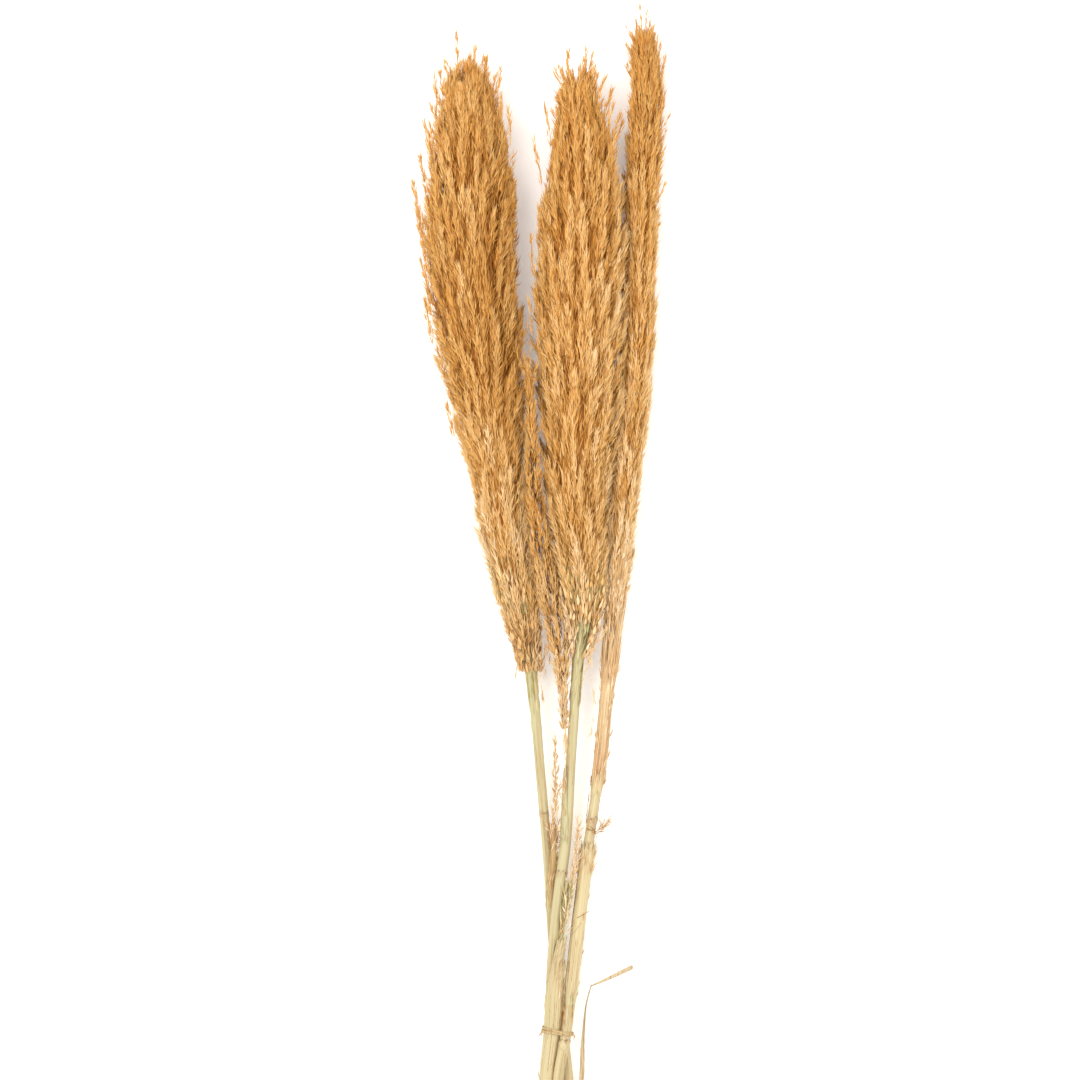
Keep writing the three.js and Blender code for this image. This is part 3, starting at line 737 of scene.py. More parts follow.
def add_stray_tufts(copies, rows, depth, count, tone):
    """Loose thin tufts all round a plume that splay out of it, more of them near its top."""
    random = copies.random
    base, top = rows[0][0], rows[-1][0]
    for i in range(count):
        level = base + (top - base) * (0.08 + 0.88 * random.uniform() ** 0.6)
        rise = max(0.0, (level - top + RISE_SPAN) / RISE_SPAN)
        angle = i * GOLDEN_ANGLE
        (x, z, half), (x2, z2, _) = at(rows, [level, level + 20])
        way = np.array([math.cos(angle), 0.0, math.sin(angle) * depth])
        start = np.array([x, level, z]) + way * half * 0.84
        along = np.array([x2 - x, 20.0, z2 - z]) / 20
        length = random.uniform(15, 28) + 12 * rise * random.uniform()
        end = start + unit(along + way * random.uniform(0.08, 0.28 + 0.3 * rise)) * length
        end[2] = np.clip(end[2], 3.0, 74.0)
        add_wisp(copies, start, end, tone + 0.05, husks=14, radius=1.4, size=(9.0, 1.25))


def fill_tip(copies, rows, tone):
    """Tufts along the axis that close the top of a plume, where the others part."""
    random = copies.random
    top = rows[-1][0]
    for i in range(TIP_TUFTS):
        angle, far = i * GOLDEN_ANGLE, 0.55 * math.sqrt((i + 0.5) / TIP_TUFTS)
        way = np.array([math.cos(angle), 0.0, 0.8 * math.sin(angle)])
        (x, z, half), (x2, z2, _) = at(rows, [top - 62, top])
        start = np.array([x, top - 62, z]) + way * half * far
        end = np.array([x2, top - random.uniform(4, 16), z2]) + way * half * far * 0.7
        add_wisp(copies, start, end, tone, 26, 2.4, (10.0, 1.25))


# %% [markdown]
# The tufts hide a dense middle of branches. It only shows in the gaps, so it is one plain body,
# coloured brown as painted shade of those gaps: a ring that is extruded from level to level and
# scaled to a share of the plume's width.

# %% The dense middle of a plume
CORE_LEVELS, CORE_SIDES = 26, 14
# painted shade: the brown of the dense middle stands for the shade deep inside a plume
CORE_PAINTED_SHADE = Finish("plume_shade", Roughness=0.9, Specular_IOR_Level=0.1)
core_place = CORE_PAINTED_SHADE.node("TexCoord", output=3)
core_streaks = CORE_PAINTED_SHADE.noise(core_place, 1.0, (420.0, 60.0, 420.0), detail=4.0)
core_painted_shade = CORE_PAINTED_SHADE.ramp(core_streaks, [
    (0.0, rgb(128, 78, 32)), (0.4, rgb(172, 114, 56)), (0.7, rgb(204, 148, 82)),
    (1.0, rgb(220, 170, 104)),
])
CORE_PAINTED_SHADE.surface(core_painted_shade, height=core_streaks, strength=0.9)
print("finish of the middles:", CORE_PAINTED_SHADE.material.name)


def extruded_rings(name, rings, sides):
    """A closed body through rings square to y, each (centre, half width in x, half width in z)."""
    clear_selection()
    (x, y, z), wide, high = rings[0]
    bpy.ops.mesh.primitive_circle_add(
        vertices=sides, radius=1.0, fill_type="NGON", rotation=(math.pi / 2, 0, 0)
    )
    made = bpy.context.object
    bpy.ops.object.transform_apply(location=True, rotation=True, scale=True)
    bpy.ops.object.mode_set(mode="EDIT")
    bpy.ops.mesh.select_all(action="SELECT")
    origin = Vector(to_model([x, y, z]))
    bpy.ops.transform.resize(value=(wide * MM, 1, high * MM), center_override=(0, 0, 0))
    bpy.ops.transform.translate(value=origin)
    for centre, new_wide, new_high in rings[1:]:
        place = Vector(to_model(centre))
        bpy.ops.mesh.extrude_region_move(TRANSFORM_OT_translate={"value": place - origin})
        bpy.ops.transform.resize(
            value=(new_wide / wide, 1, new_high / high), center_override=place
        )
        origin, wide, high = place, new_wide, new_high
    bpy.ops.mesh.select_all(action="SELECT")
    bpy.ops.mesh.normals_make_consistent(inside=False)
    bpy.ops.object.mode_set(mode="OBJECT")
    made.name = made.data.name = name
    made.data.shade_smooth()
    return made


def dense_middle(name, rows, depth, first, last, share, random):
    """The plain body in a plume from level first to level last, at a share of its width."""
    rings = []
    for y in np.linspace(first, last, CORE_LEVELS):
        x, z, half = at(rows, y)[0]
        wide = max(half * share * random.uniform(0.93, 1.07), 1.2)
        if y in (first, last):
            wide *= 0.3
        rings.append(((x, y, max(z, wide * depth + 0.5)), wide, wide * depth))
    body = extruded_rings(name, rings, CORE_SIDES)
    body.data.materials.append(CORE_PAINTED_SHADE.material)
    return body


# %% [markdown]
# The three full plumes differ in outline, colour and density, so each gets its own numbers. The
# loose wisps that break their outlines are listed one by one, by where they start and end. Where
# a wisp has two more numbers, they are its count of spikelets and its radius.

# %% Dress a plume
TIER = 16.0
STRAW_HUE = 0.85
DROOPING = 0.04


def foot_hue(rows, hue, foot=ROSY_HUE):
    """The hue of a plume, which turns to straw near its foot."""
    def hue_at(roots):
        x, y, z = roots.T
        straw = np.exp(-np.clip(y - rows[0][0] - 10, 0, None) / 150)
        return hue + (foot - hue) * straw + 0.12 * np.sin(x / 6 + y / 37) * np.sin(y / 21 - z / 8)

    return hue_at


def foot_husks(copies, rows, depth, count, tone, bare_until=0.0):
    """Large pointed husks round the foot of a plume, where they are seen one by one."""
    random = copies.random
    levels = rows[0][0] - 6 + 104 * random.uniform(0, 1, count) ** 1.1
    angles = random.uniform(0, 2 * math.pi, count)
    seen = (levels > bare_until) | (np.sin(angles) < BARE)
    levels, angles = levels[seen], angles[seen]
    ways = np.stack([np.cos(angles), angles * 0, np.sin(angles) * depth], axis=1)
    x, z, half = at(rows, np.maximum(levels, rows[0][0])).T
    share = random.uniform(0.62, 0.98, len(levels))
    roots = np.stack([x, levels, z], axis=1) + ways * (half * share)[:, None]
    ahead = at(rows, np.maximum(levels, rows[0][0]) + 20)
    drift = np.stack([ahead[:, 0] - x, 20 + 0 * x, ahead[:, 1] - z], axis=1) / 20
    directions = drift + ways * 0.2 + random.normal(0, 0.15, roots.shape)
    directions[random.uniform(0, 1, len(roots)) < DROOPING, 1] *= -0.8
    # painted shade: husks that sit deeper in the plume are darker
    tones = tone + random.normal(0, 0.09, len(levels)) - 0.5 * (0.98 - share)
    lengths = random.uniform(8, 14, len(levels))
    widths = random.uniform(2.0, 3.3, len(levels))
    copies.lay(HUSK, roots, directions, lengths, widths, tones, bow=0.15)


def plume(
    name, rows, depth, seed, *, spacing, length, each, radius, size, tone, hue, shade,
    hairs, under, strays, husks, wisps, middle,
    painted_shade_side=0.0, uneven=0.055, bare_until=0.0, parting=None,
):
    """The tufts of a plume, what lies under them, and its dense middle."""
    colour = foot_hue(rows, hue, STRAW_HUE)
    tufts = Copies(seed, colour, shade, parting)
    lines, ways = tuft_lines(
        rows, depth, TIER, spacing, length, tufts.random, bare_until=bare_until)
    print(f"{name}: {len(lines)} tufts")
    fill_tufts(tufts, rows, depth, lines, ways, each, radius, size, tone, painted_shade_side, uneven)
    placed(tufts.made(name + "_tufts", SPIKELET_FINISH), "plume", name)
    below = Copies(seed + 1, colour, shade, parting)
    undercoat(below, rows, depth, under, (size[0] * 1.1, size[1] * 1.3), tone, bare_until)
    add_hairs(below, lines, ways, hairs, tone + 0.12)
    foot_husks(below, rows, depth, husks, tone + 0.04, bare_until)
    add_stray_tufts(below, rows, depth, strays, tone)
    fill_tip(below, rows, tone)
    for start, end, *fuller in wisps:
        add_wisp(below, start, end, tone + 0.05, *fuller)
    placed(below.made(name + "_undercoat", SPIKELET_FINISH), "plume", name)
    body = dense_middle(name + "_middle", rows, depth, *middle, np.random.default_rng(seed))
    placed(body, "plume", name)


# %% The left plume
LEFT_WISPS = [
    ((-109, 1036, 28), (-110, 1084, 30)), ((-131, 990, 32), (-134, 1032, 35)),
    ((-119, 1000, 34), (-127, 1036, 38)), ((-124, 968, 36), (-137, 997, 38)),
    ((-134, 926, 34), (-145, 984, 36), 70, 3.6), ((-132, 938, 42), (-137, 975, 46)),
    ((-139, 846, 36), (-157, 919, 38), 90, 4.0), ((-139, 806, 40), (-151, 868, 44), 70, 3.6),
    ((-137, 880, 40), (-149, 944, 42), 80, 3.6), ((-137, 776, 32), (-148, 834, 34), 60, 3.2),
    ((-138, 830, 30), (-152, 890, 30), 70, 3.4), ((-134, 740, 36), (-143, 790, 38), 50, 2.8),
    ((-97, 1020, 30), (-96, 1053, 32)), ((-92, 1020, 34), (-89, 1063, 38)),
    ((-80, 1010, 32), (-78, 1049, 34)), ((-70, 1006, 34), (-62, 1040, 38)),
    ((-51, 952, 36), (-54, 997, 40)), ((-62, 975, 42), (-61, 1007, 48)),
    ((-43, 690, 36), (-36, 730, 40)), ((-38, 640, 30), (-30, 672, 34)),
    ((-120, 700, 38), (-128, 738, 42)), ((-112, 640, 40), (-120, 676, 42)),
    ((-98, 1012, 30), (-96, 1053, 32)), ((-90, 1016, 32), (-89, 1064, 35)),
    ((-80, 1008, 34), (-77, 1050, 36)), ((-104, 1010, 30), (-104, 1049, 32)),
    ((-113, 1004, 30), (-117, 1040, 32)), ((-72, 990, 34), (-68, 1028, 36)),
    # these hang below the foot of the plume
    ((-14, 420, 30), (-12, 380, 27), 12, 1.0), ((-19, 400, 34), (-16, 358, 31), 12, 1.0),
    ((-12, 430, 34), (-9, 398, 32), 12, 1.0), ((-44, 404, 28), (-47, 384, 27), 8, 1.0),
]
LEFT_SHADE = [(400, -0.14), (450, -0.02), (520, 0.14), (600, 0.07), (700, -0.08), (1060, -0.06)]
plume(
    "plume_left", PLUME_LEFT, LEFT_DEPTH, 11, spacing=17.0, length=70.0, each=104, radius=6.2,
    size=(11.5, 1.25), tone=0.63, hue=0.2, shade=LEFT_SHADE, painted_shade_side=0.12, uneven=0.065,
    hairs=15, under=10500, strays=240, husks=560, wisps=LEFT_WISPS, middle=(450, 1000, 0.60),
)

# %% The middle plume
MIDDLE_WISPS = [
    ((16, 1018, 32), (15, 1060, 34)), ((25, 1020, 30), (29, 1062, 33)),
    ((28, 1016, 34), (33, 1056, 38)), ((8, 1004, 34), (7, 1040, 36)),
    ((36, 1004, 34), (40, 1040, 37)), ((-8, 952, 38), (-15, 998, 42)),
    ((-17, 910, 38), (-27, 962, 42)), ((-25, 810, 38), (-29, 861, 42)),
    ((-21, 850, 42), (-21, 889, 47)), ((-26, 750, 38), (-32, 794, 42)),
    ((46, 970, 36), (58, 1016, 40), 60, 3.2), ((54, 940, 38), (67, 990, 42), 70, 3.8),
    ((56, 950, 32), (70, 984, 34), 40, 2.6), ((50, 955, 42), (60, 1000, 46), 50, 3.0),
    ((44, 994, 36), (50, 1030, 38)), ((25, 374, 38), (37, 414, 40), 16, 1.2),
    ((37, 414, 40), (48, 431, 40), 20, 1.8), ((34, 412, 38), (37, 372, 34), 5, 0.6),
    ((37, 372, 34), (39, 346, 31), 6, 0.7), ((39, 346, 31), (35, 318, 29), 5, 0.6),
]
MIDDLE_SHADE = [
    (406, 0.08), (450, 0.07), (520, 0.01), (700, 0.1), (850, 0.05), (950, -0.06), (1060, -0.07)]
plume(
    "plume_middle", PLUME_MIDDLE, MIDDLE_DEPTH, 23, spacing=17.0, length=70.0, each=104,
    radius=6.2, size=(11.5, 1.25), tone=0.65, hue=0.05, shade=MIDDLE_SHADE, painted_shade_side=-0.14,
    hairs=15, under=10500, strays=240, husks=560, wisps=MIDDLE_WISPS, middle=(465, 985, 0.60),
    bare_until=436.0, parting=(19.5, 1016, 3.4),
)

# %% The right plume
RIGHT_WISPS = [
    ((90, 1074, 20), (88, 1110, 21), 12, 1.0), ((92, 1066, 22), (96, 1104, 24), 14, 1.1),
    ((101, 1036, 22), (108, 1076, 24), 20, 1.6), ((84, 1030, 22), (80, 1064, 24), 12, 1.0),
    ((88, 1058, 20), (85, 1096, 22), 20, 1.5), ((95, 1060, 18), (100, 1090, 20), 12, 1.0),
    ((97, 1048, 22), (103, 1084, 24), 14, 1.1),
]
RIGHT_SHADE = [(420, 0.06), (520, 0.17), (620, 0.09), (720, 0.05), (900, -0.03), (1000, -0.14)]
plume(
    "plume_right", PLUME_RIGHT, RIGHT_DEPTH, 37, spacing=12.0, length=62.0, each=84, radius=4.4,
    size=(10.5, 1.2), tone=0.65, hue=0.18, shade=RIGHT_SHADE,
    hairs=12, under=6000, strays=150, husks=160, wisps=RIGHT_WISPS, middle=(450, 1040, 0.56),
)

# %% [markdown]
# A pampas stalk carries its plume on whorls of thin branches. They show at the foot of a plume,
# where the tufts thin out, as straw-green lines that fan up from the stalk, and a few drooping
# strings hang there. They are chains of the husk shape, with the same map as the spikelets but
# greener colours.

# %% Branches at the foot of a plume
BRANCHES = 54
BRANCH_REACH = 74.0
BRANCH_RADIUS = 0.85
LOWEST_START, HIGHEST_START = -75.0, 60


def foot_branches(name, rows, stalk_rows, depth, seed):
    """Thin branches that leave the stalk below and in the foot of its plume and fan into it."""
    copies = Copies(seed)
    random = copies.random
    base = rows[0][0]
    for i in range(BRANCHES):
        angle = i * GOLDEN_ANGLE
        start = base + random.uniform(LOWEST_START, HIGHEST_START)
        way = np.array([math.cos(angle), 0.0, math.sin(angle)])
        points = []
        for level in np.linspace(start, max(start, base) + BRANCH_REACH, 8):
            share = np.clip((level - base + 12) / (BRANCH_REACH + 12), 0, 1)
            if level < base:
                x, z, hold = at(stalk_rows, level)[0]
                wide = way * (hold + 0.35 + 1.6 * share * 4)
            else:
                x, z, half = at(rows, level)[0]
                wide = way * (4.6 + 1.8 * min(share * 4, 1) + half * 0.62 * share**1.4)
                wide = wide * [1, 1, depth]
            points.append(np.array([x, level, z]) + wide)
        thickness = BRANCH_RADIUS * random.uniform(0.7, 1.15)
        add_branch(copies, points, thickness, random.uniform(0.3, 0.8))
    placed(copies.made(name + "_branches", GREEN_FINISH), "plume", name)


foot_branches("plume_left", PLUME_LEFT, STALK_LEFT, LEFT_DEPTH, 101)
foot_branches("plume_middle", PLUME_MIDDLE, STALK_MIDDLE, MIDDLE_DEPTH, 102)

# %% [markdown]
# The right plume comes out of its last sheath as a narrow bundle of long straw strands, which
# open into tufts only further up.

# %% Strands at the foot of the right plume
STRANDS = 520
STRANDS_FROM, STRANDS_TO, RIGHT_FOOT = 352, 486, 422
strands = Copies(103, STRAW_HUE)
levels = strands.random.uniform(STRANDS_FROM, STRANDS_TO, STRANDS)
angles = strands.random.uniform(0, 2 * math.pi, STRANDS)
on_stalk, in_plume = at(STALK_RIGHT, levels)[:, :2], at(PLUME_RIGHT, levels)[:, :2]
x, z = np.where(levels[:, None] < RIGHT_FOOT, on_stalk, in_plume).T
bulge = 6.2 + 4.2 * np.clip((levels - STRANDS_FROM) / 110, 0, 1)
out = bulge * strands.random.uniform(0.9, 1.08, STRANDS)
roots = np.stack([x + np.cos(angles) * out, levels, z + np.sin(angles) * out], axis=1)
ways = np.stack([0.10 + np.cos(angles) * 0.035, np.ones(STRANDS), np.sin(angles) * 0.035], axis=1)
ways += strands.random.normal(0, 0.022, (STRANDS, 3))
lengths = strands.random.uniform(28, 62, STRANDS)
widths = strands.random.uniform(0.9, 2.0, STRANDS)
tones = strands.random.normal(0.62, 0.18, STRANDS)
strands.lay(HUSK, roots, ways, lengths, widths, tones, bow=0.03)
placed(strands.made("plume_right_strands", SPIKELET_FINISH), "plume", "plume_right")

# %% [markdown]
# The slender plume is a late side shoot: thin enough to see through, paler, on a stem of its own
# that comes out of a torn sheath. It uses the same tufts, only few and short ones.

# %% The slender plume
SLENDER_SHADE = [(330, 0.0), (400, 0.0), (520, -0.08), (740, -0.12)]
slender = Copies(41, foot_hue(PLUME_SLENDER, 0.2), SLENDER_SHADE)
slender_lines, slender_ways = tuft_lines(
    PLUME_SLENDER, SLENDER_DEPTH, 12.0, 11.0, 40.0, slender.random, inner=0.15)
fill_tufts(
    slender, PLUME_SLENDER, SLENDER_DEPTH, slender_lines, slender_ways,
    each=34, radius=3.2, size=(10.0, 1.2), tone=0.6, stray=0.16,
)
foot_husks(slender, PLUME_SLENDER, SLENDER_DEPTH, 110, 0.6)
add_hairs(slender, slender_lines, slender_ways, 4, 0.7)
add_stray_tufts(slender, PLUME_SLENDER, SLENDER_DEPTH, 40, 0.62)

# %% Its stem and its loose tips
stem = [np.array([6.6, 250, 34.0]), np.array([8.8, 300, 36.6]), np.array([7.6, 334, 37.6])]
for level in np.linspace(350, 720, 14):
    x, z, half = at(PLUME_SLENDER, level)[0]
    stem.append(np.array([x, level, z]))
add_branch(slender, stem, 1.3, 0.55)
for end in ((-33.5, 766, 50), (-30.5, 744, 51)):
    add_wisp(slender, (-31, 700, 48), end, 0.6, 11, 1.0, (9.0, 1.1))
for start, end in (
    ((9.2, 296, 36.2), (5.6, 334, 38)), ((8.6, 312, 36.6), (4.0, 350, 38)),
    ((8.8, 290, 36), (6.8, 318, 38)), ((7.8, 322, 37), (7.6, 352, 40)),
):
    add_wisp(slender, start, end, 0.66, 9, 0.9, (8.5, 1.9))
placed(slender.made("plume_slender_tufts", SPIKELET_FINISH), "spray", "plume_slender")

# %% [markdown]
# The three small sprays are shoots that never opened fully: a thread with short branchlets in
# turn round it, each with a few pointed spikelets.

# %% The small sprays
SPRAY_LEFT = [
    (170, -5.4, 21.6), (195, -5.0, 24.4), (228, -3.6, 27.6), (260, -2.6, 29.2), (293, -3.0, 30.6),
    (312, -3.6, 31.2),
]
SPRAY_MIDDLE = [
    (84, 1.6, 28.8), (100, 4.4, 30.0), (125, 8.6, 31.0), (152, 14.0, 31.2), (179, 18.0, 31.2),
    (201, 20.5, 31.0), (220, 22.0, 31.0),
]
SPRIG_RIGHT = [(211, 37.8, 27.0), (215, 41.8, 29.6), (219, 46.5, 31.2), (223, 52.0, 31.2)]


def spray(
    rows, seed, *, branchlets, long, lean, stem, husks, size, tone, taper=0.25, first=0.08
):
    """A thread through rows, with branchlets in turn round it and a few husks on each."""
    copies = Copies(seed)
    random = copies.random
    levels = np.linspace(rows[0][0], rows[-1][0], 13)
    x, z = at(rows, levels).T
    path = np.stack([x, levels, z], axis=1)
    add_branch(copies, path, stem, tone - 0.05)
    for i in range(branchlets):
        share = first + (1 - first) * i / (branchlets - 1)
        level = rows[0][0] + (rows[-1][0] - rows[0][0]) * min(share, 0.99)
        (x, z), (x2, z2) = at(rows, level)[0], at(rows, level + 0.5)[0]
        root, along = np.array([x, level, z]), unit(np.array([x2 - x, 0.5, z2 - z]))
        angle = i * GOLDEN_ANGLE
        out = np.array([math.cos(angle), 0.0, math.sin(angle) * 0.8])
        way = unit(along + out * lean * (1 - 0.5 * share) * random.uniform(0.7, 1.2))
        thinner = 1 - taper * share
        length = long * random.uniform(0.75, 1.15) * thinner
        u = np.linspace(0, 1, 4)[:, None]
        curl = np.array([0, 1, 0]) * 0.12 * length
        twig = root + way * length * u + curl * u**2
        add_branch(copies, twig, stem * 0.4, tone - 0.02)
        places = np.linspace(0.15, 0.95, husks)[:, None]
        roots = root + way * length * places + curl * places**2
        leaning = way + random.normal(0, 0.26, (husks, 3))
        lengths = size[0] * random.uniform(0.75, 1.25, husks) * (0.4 + 0.6 * thinner)
        widths = size[1] * random.uniform(0.8, 1.25, husks) * (0.3 + 0.7 * thinner)
        tones = tone + random.normal(0, 0.1) + random.normal(0, 0.08, husks)
        copies.lay(HUSK, roots, leaning, lengths, widths, tones)
        tips = leaning[-3:]
        copies.lay(SPIKELET, roots[-3:] + tips * 3, tips, size[0] * 1.1, 0.4, 0.85)
    return copies


left_spray = spray(
    SPRAY_LEFT, 7, branchlets=27, long=23.0, lean=0.36, stem=0.8, husks=7, size=(9.5, 2.2),
    tone=0.58, taper=0.75,
)
placed(left_spray.made("spray_left_husks", SPIKELET_FINISH), "spray", "spray_left")

# %% The middle spray and its wad of fibres
middle_spray = spray(
    SPRAY_MIDDLE, 9, branchlets=34, long=22.0, lean=0.42, stem=0.8, husks=6, size=(9.5, 2.0),
    tone=0.7, taper=0.6,
)
placed(middle_spray.made("spray_middle_husks", SPIKELET_FINISH), "spray", "spray_middle")
WAD_FIBRES = 180
starts = middle_spray.random.uniform(84, 150, WAD_FIBRES)
x, z = at(SPRAY_MIDDLE, starts).T
width = np.clip((starts - 80) / 14, 1.2, 4.2)
fibre_roots = np.stack([
    x - 1.0 + middle_spray.random.uniform(-1, 1, WAD_FIBRES) * width, starts,
    z + middle_spray.random.uniform(-0.6, 0.5, WAD_FIBRES) * width * 0.6,
], axis=1)
fibre_ways = np.array([0.16, 1.0, 0.02])
fibre_ways = fibre_ways + middle_spray.random.normal(0, 0.12, (WAD_FIBRES, 3))
wad = Copies(19)
fibre_lengths = wad.random.uniform(14, 30, WAD_FIBRES)
fibre_tones = wad.random.uniform(0.4, 0.9, WAD_FIBRES)
wad.lay(SPIKELET, fibre_roots, fibre_ways, fibre_lengths, 0.9, fibre_tones, bow=0.2)
placed(wad.made("spray_middle_wad", GREEN_FINISH), "spray", "spray_middle")

# %% The sprig at the right stalk's joint
right_sprig = spray(
    SPRIG_RIGHT, 13, branchlets=17, long=10.0, lean=1.1, stem=0.5, husks=4, size=(8.0, 0.9),
    tone=0.42, first=0.05,
)
placed(right_sprig.made("sprig_right_husks", SPIKELET_FINISH), "spray", "sprig_right")

# %% [markdown]
# Stalks, sheaths, leaf and raffia are all sheets of fibre, rolled or folded. So each starts as a
# flat grid whose points are then moved to where the piece is, as paper is rolled: u runs across
# it and v along it. A tube is closed by merging the seam and filling its ends. The place where
# each point would lie if the piece were straight is stored with it for the finish, and so is its
# wear: brown stain, green, and dark cracks.

# %% Roll a sheet
def rolled(name, across, along, place):
    """A grid whose points are put where place says, given u and v from 0 to 1."""
    clear_selection()
    bpy.ops.mesh.primitive_grid_add(x_subdivisions=across, y_subdivisions=along, size=2.0)
    made = bpy.context.object
    made.name = made.data.name = name
    flat = np.zeros(len(made.data.vertices) * 3)
    made.data.vertices.foreach_get("co", flat)
    u, v = (flat.reshape(-1, 3)[:, :2].T + 1) / 2
    points = to_model(place(u, v))
    points[:, 2] = np.maximum(points[:, 2], LOWEST * MM)
    made.data.vertices.foreach_set("co", points.ravel())
    made.data.update()
    return made


def closed_tube(made):
    """Merges the seam of a rolled sheet and fills its open ends."""
    bpy.ops.object.mode_set(mode="EDIT")
    bpy.ops.mesh.select_all(action="SELECT")
    bpy.ops.mesh.remove_doubles(threshold=0.00001)
    bpy.ops.mesh.fill_holes(sides=0)
    bpy.ops.mesh.select_all(action="SELECT")
    bpy.ops.mesh.normals_make_consistent(inside=False)
    bpy.ops.object.mode_set(mode="OBJECT")
    return made


def thickened(made, thickness):
    """Gives an open sheet a wall, outwards."""
    wall = made.modifiers.new("wall", "SOLIDIFY")
    wall.thickness, wall.offset = thickness * MM, 1.0
    bpy.ops.object.modifier_apply(modifier=wall.name)
    return made


# %% Finish a sheet
SMOOTH_ANGLE = 50


def store(mesh, name, vectors):
    """Keeps one vector for each point of a mesh, for its finish to read."""
    layer = mesh.attributes.new(name, "FLOAT_VECTOR", "POINT")
    layer.data.foreach_set("vector", vectors.ravel())


def finished(made, finish, centre_of, wear_of=None):
    """Stores the straight place and the wear of each point, and gives the piece its finish."""
    mesh = made.data
    points = np.zeros(len(mesh.vertices) * 3)
    mesh.vertices.foreach_get("co", points)
    points = points.reshape(-1, 3) / MM - SHIFT
    centre = centre_of(points)
    straight = (points - centre) * MM
    straight[:, 1] = points[:, 1] * MM
    store(mesh, STRAIGHT, straight)
    wear = np.zeros_like(points) if wear_of is None else np.clip(wear_of(points, centre), 0, 1)
    store(mesh, WEAR, wear)
    mesh.materials.append(finish)
    made.select_set(True)
    bpy.ops.object.shade_smooth_by_angle(angle=math.radians(SMOOTH_ANGLE))
    print(f"{made.name}: {sum(len(f.vertices) - 2 for f in mesh.polygons)} triangles")
    return made


# %% Lines that waver
WAVES = 6


def ripple(t, seed, low=1.0, high=9.0):
    """A smooth irregular line from -1 to 1 or so, the same on every run."""
    random = np.random.default_rng(seed)
    speeds, phases = random.uniform(low, high, WAVES), random.uniform(0, 6.28, WAVES)
    return sum(np.sin(t * s + p) for s, p in zip(speeds, phases)) / math.sqrt(WAVES)


def bump_at(t, middle, width):
    """A smooth bump of height 1 at middle."""
    return np.exp(-(((t - middle) / width) ** 2))


# %% [markdown]
# A stalk is a tube with shallow ridges, swollen at its joints, where a thin dark scar runs round
# it. It was cut square with a knife, so its end is a shallow dish of pith inside a hard rim. The
# left and middle stalks go on into their plumes as a thin axis, which shows at the bare foot.

# %% The stalks
STALK_SIDES = 28
GOLDEN_SHARE = 0.61803


def middle_of(rows, points):
    """The middle of a stalk at the level of each point."""
    x, z = at(rows, points[:, 1])[:, :2].T
    return np.stack([x, x * 0, z], axis=1)


def cut_end(made):
    """Cuts a hard rim and a shallow dish of pith into the lower end of a stalk."""
    ends = [f for f in made.data.polygons if len(f.vertices) > 4 and f.center.y / MM < SHIFT[1]]
    select_faces(made.data, lambda face: face.index == ends[0].index)
    bpy.ops.object.mode_set(mode="EDIT")
    bpy.ops.mesh.select_mode(type="FACE")
    bpy.ops.mesh.inset(thickness=0.9 * MM)
    bpy.ops.mesh.inset(thickness=0.3 * MM, depth=-0.8 * MM)
    bpy.ops.mesh.inset(thickness=2.2 * MM, depth=0.3 * MM)
    bpy.ops.object.mode_set(mode="OBJECT")


def stalk(name, rows, joints, seed, green, streaks):
    """A stalk with its joints, given by level and swell, and fine cracks along it."""
    length = rows[-1][0] - BUTT_Y

    def place(u, v):
        y = BUTT_Y + v * length
        x, z, radius = at(rows, y).T
        angle = -u * 2 * math.pi
        ridges = ripple(np.cos(angle) * 3 + np.sin(angle) * 4, seed, low=2, high=7) * 0.016
        ridges += 0.006 * np.cos(angle * 11)
        ridges -= 0.05 * bump_at((angle + y * 0.002 + seed) % 6.283, 3.1, 0.3)
        for level, swell in joints:
            ridges += bump_at(y, level, 2.4) * swell / radius * 1.1
            ridges -= bump_at(y, level + 3.2, 0.8) * 0.04
        reach = radius * (1 + ridges) - 0.15
        return np.stack([x + np.cos(angle) * reach, y, z + np.sin(angle) * reach], axis=1)

    def wear_of(points, centre):
        y = points[:, 1]
        angle = np.arctan2(points[:, 2] - centre[:, 2], points[:, 0] - centre[:, 0])
        stain = 0.2 * bump_at(y, BUTT_Y, 9)
        stain += 0.3 * np.clip(ripple(angle + y * 0.004, seed + 2), 0, 1)
        crack = np.zeros(len(y))
        for level, swell in joints:
            stain += 0.3 * bump_at(y, level, 3) * (1 + ripple(angle, seed + 6, low=2))
            crack += 0.8 * bump_at(y, level + 3.0 + 0.9 * ripple(angle, seed + 7, low=2), 0.8)
        rise = np.clip((y - 245) / 150, 0, 1)
        streak = ripple(angle, seed + 5, low=3, high=9) > 0.35
        greens = green * np.clip((y - 30) / 90, 0, 1) + streaks * rise * (0.7 + streak)
        return np.stack([stain, greens, crack], axis=1)

    made = closed_tube(rolled(name + "_straw", STALK_SIDES, round(length / 2.2), place))
    cut_end(made)
    finished(made, STRAW, lambda points: middle_of(rows, points), wear_of)
    placed(made, "stalk", name)
    cracks = Copies(seed + 30, GOLD_HUE)
    for u in np.arange(16) * GOLDEN_SHARE % 1:
        v = cracks.random.uniform(0.02, 0.7) + np.linspace(0, cracks.random.uniform(0.02, 0.12), 6)
        add_branch(cracks, place(np.full(6, u), v), cracks.random.uniform(0.14, 0.26), 0.15)
    placed(cracks.made(name + "_cracks", SPIKELET_FINISH), "stalk", name)


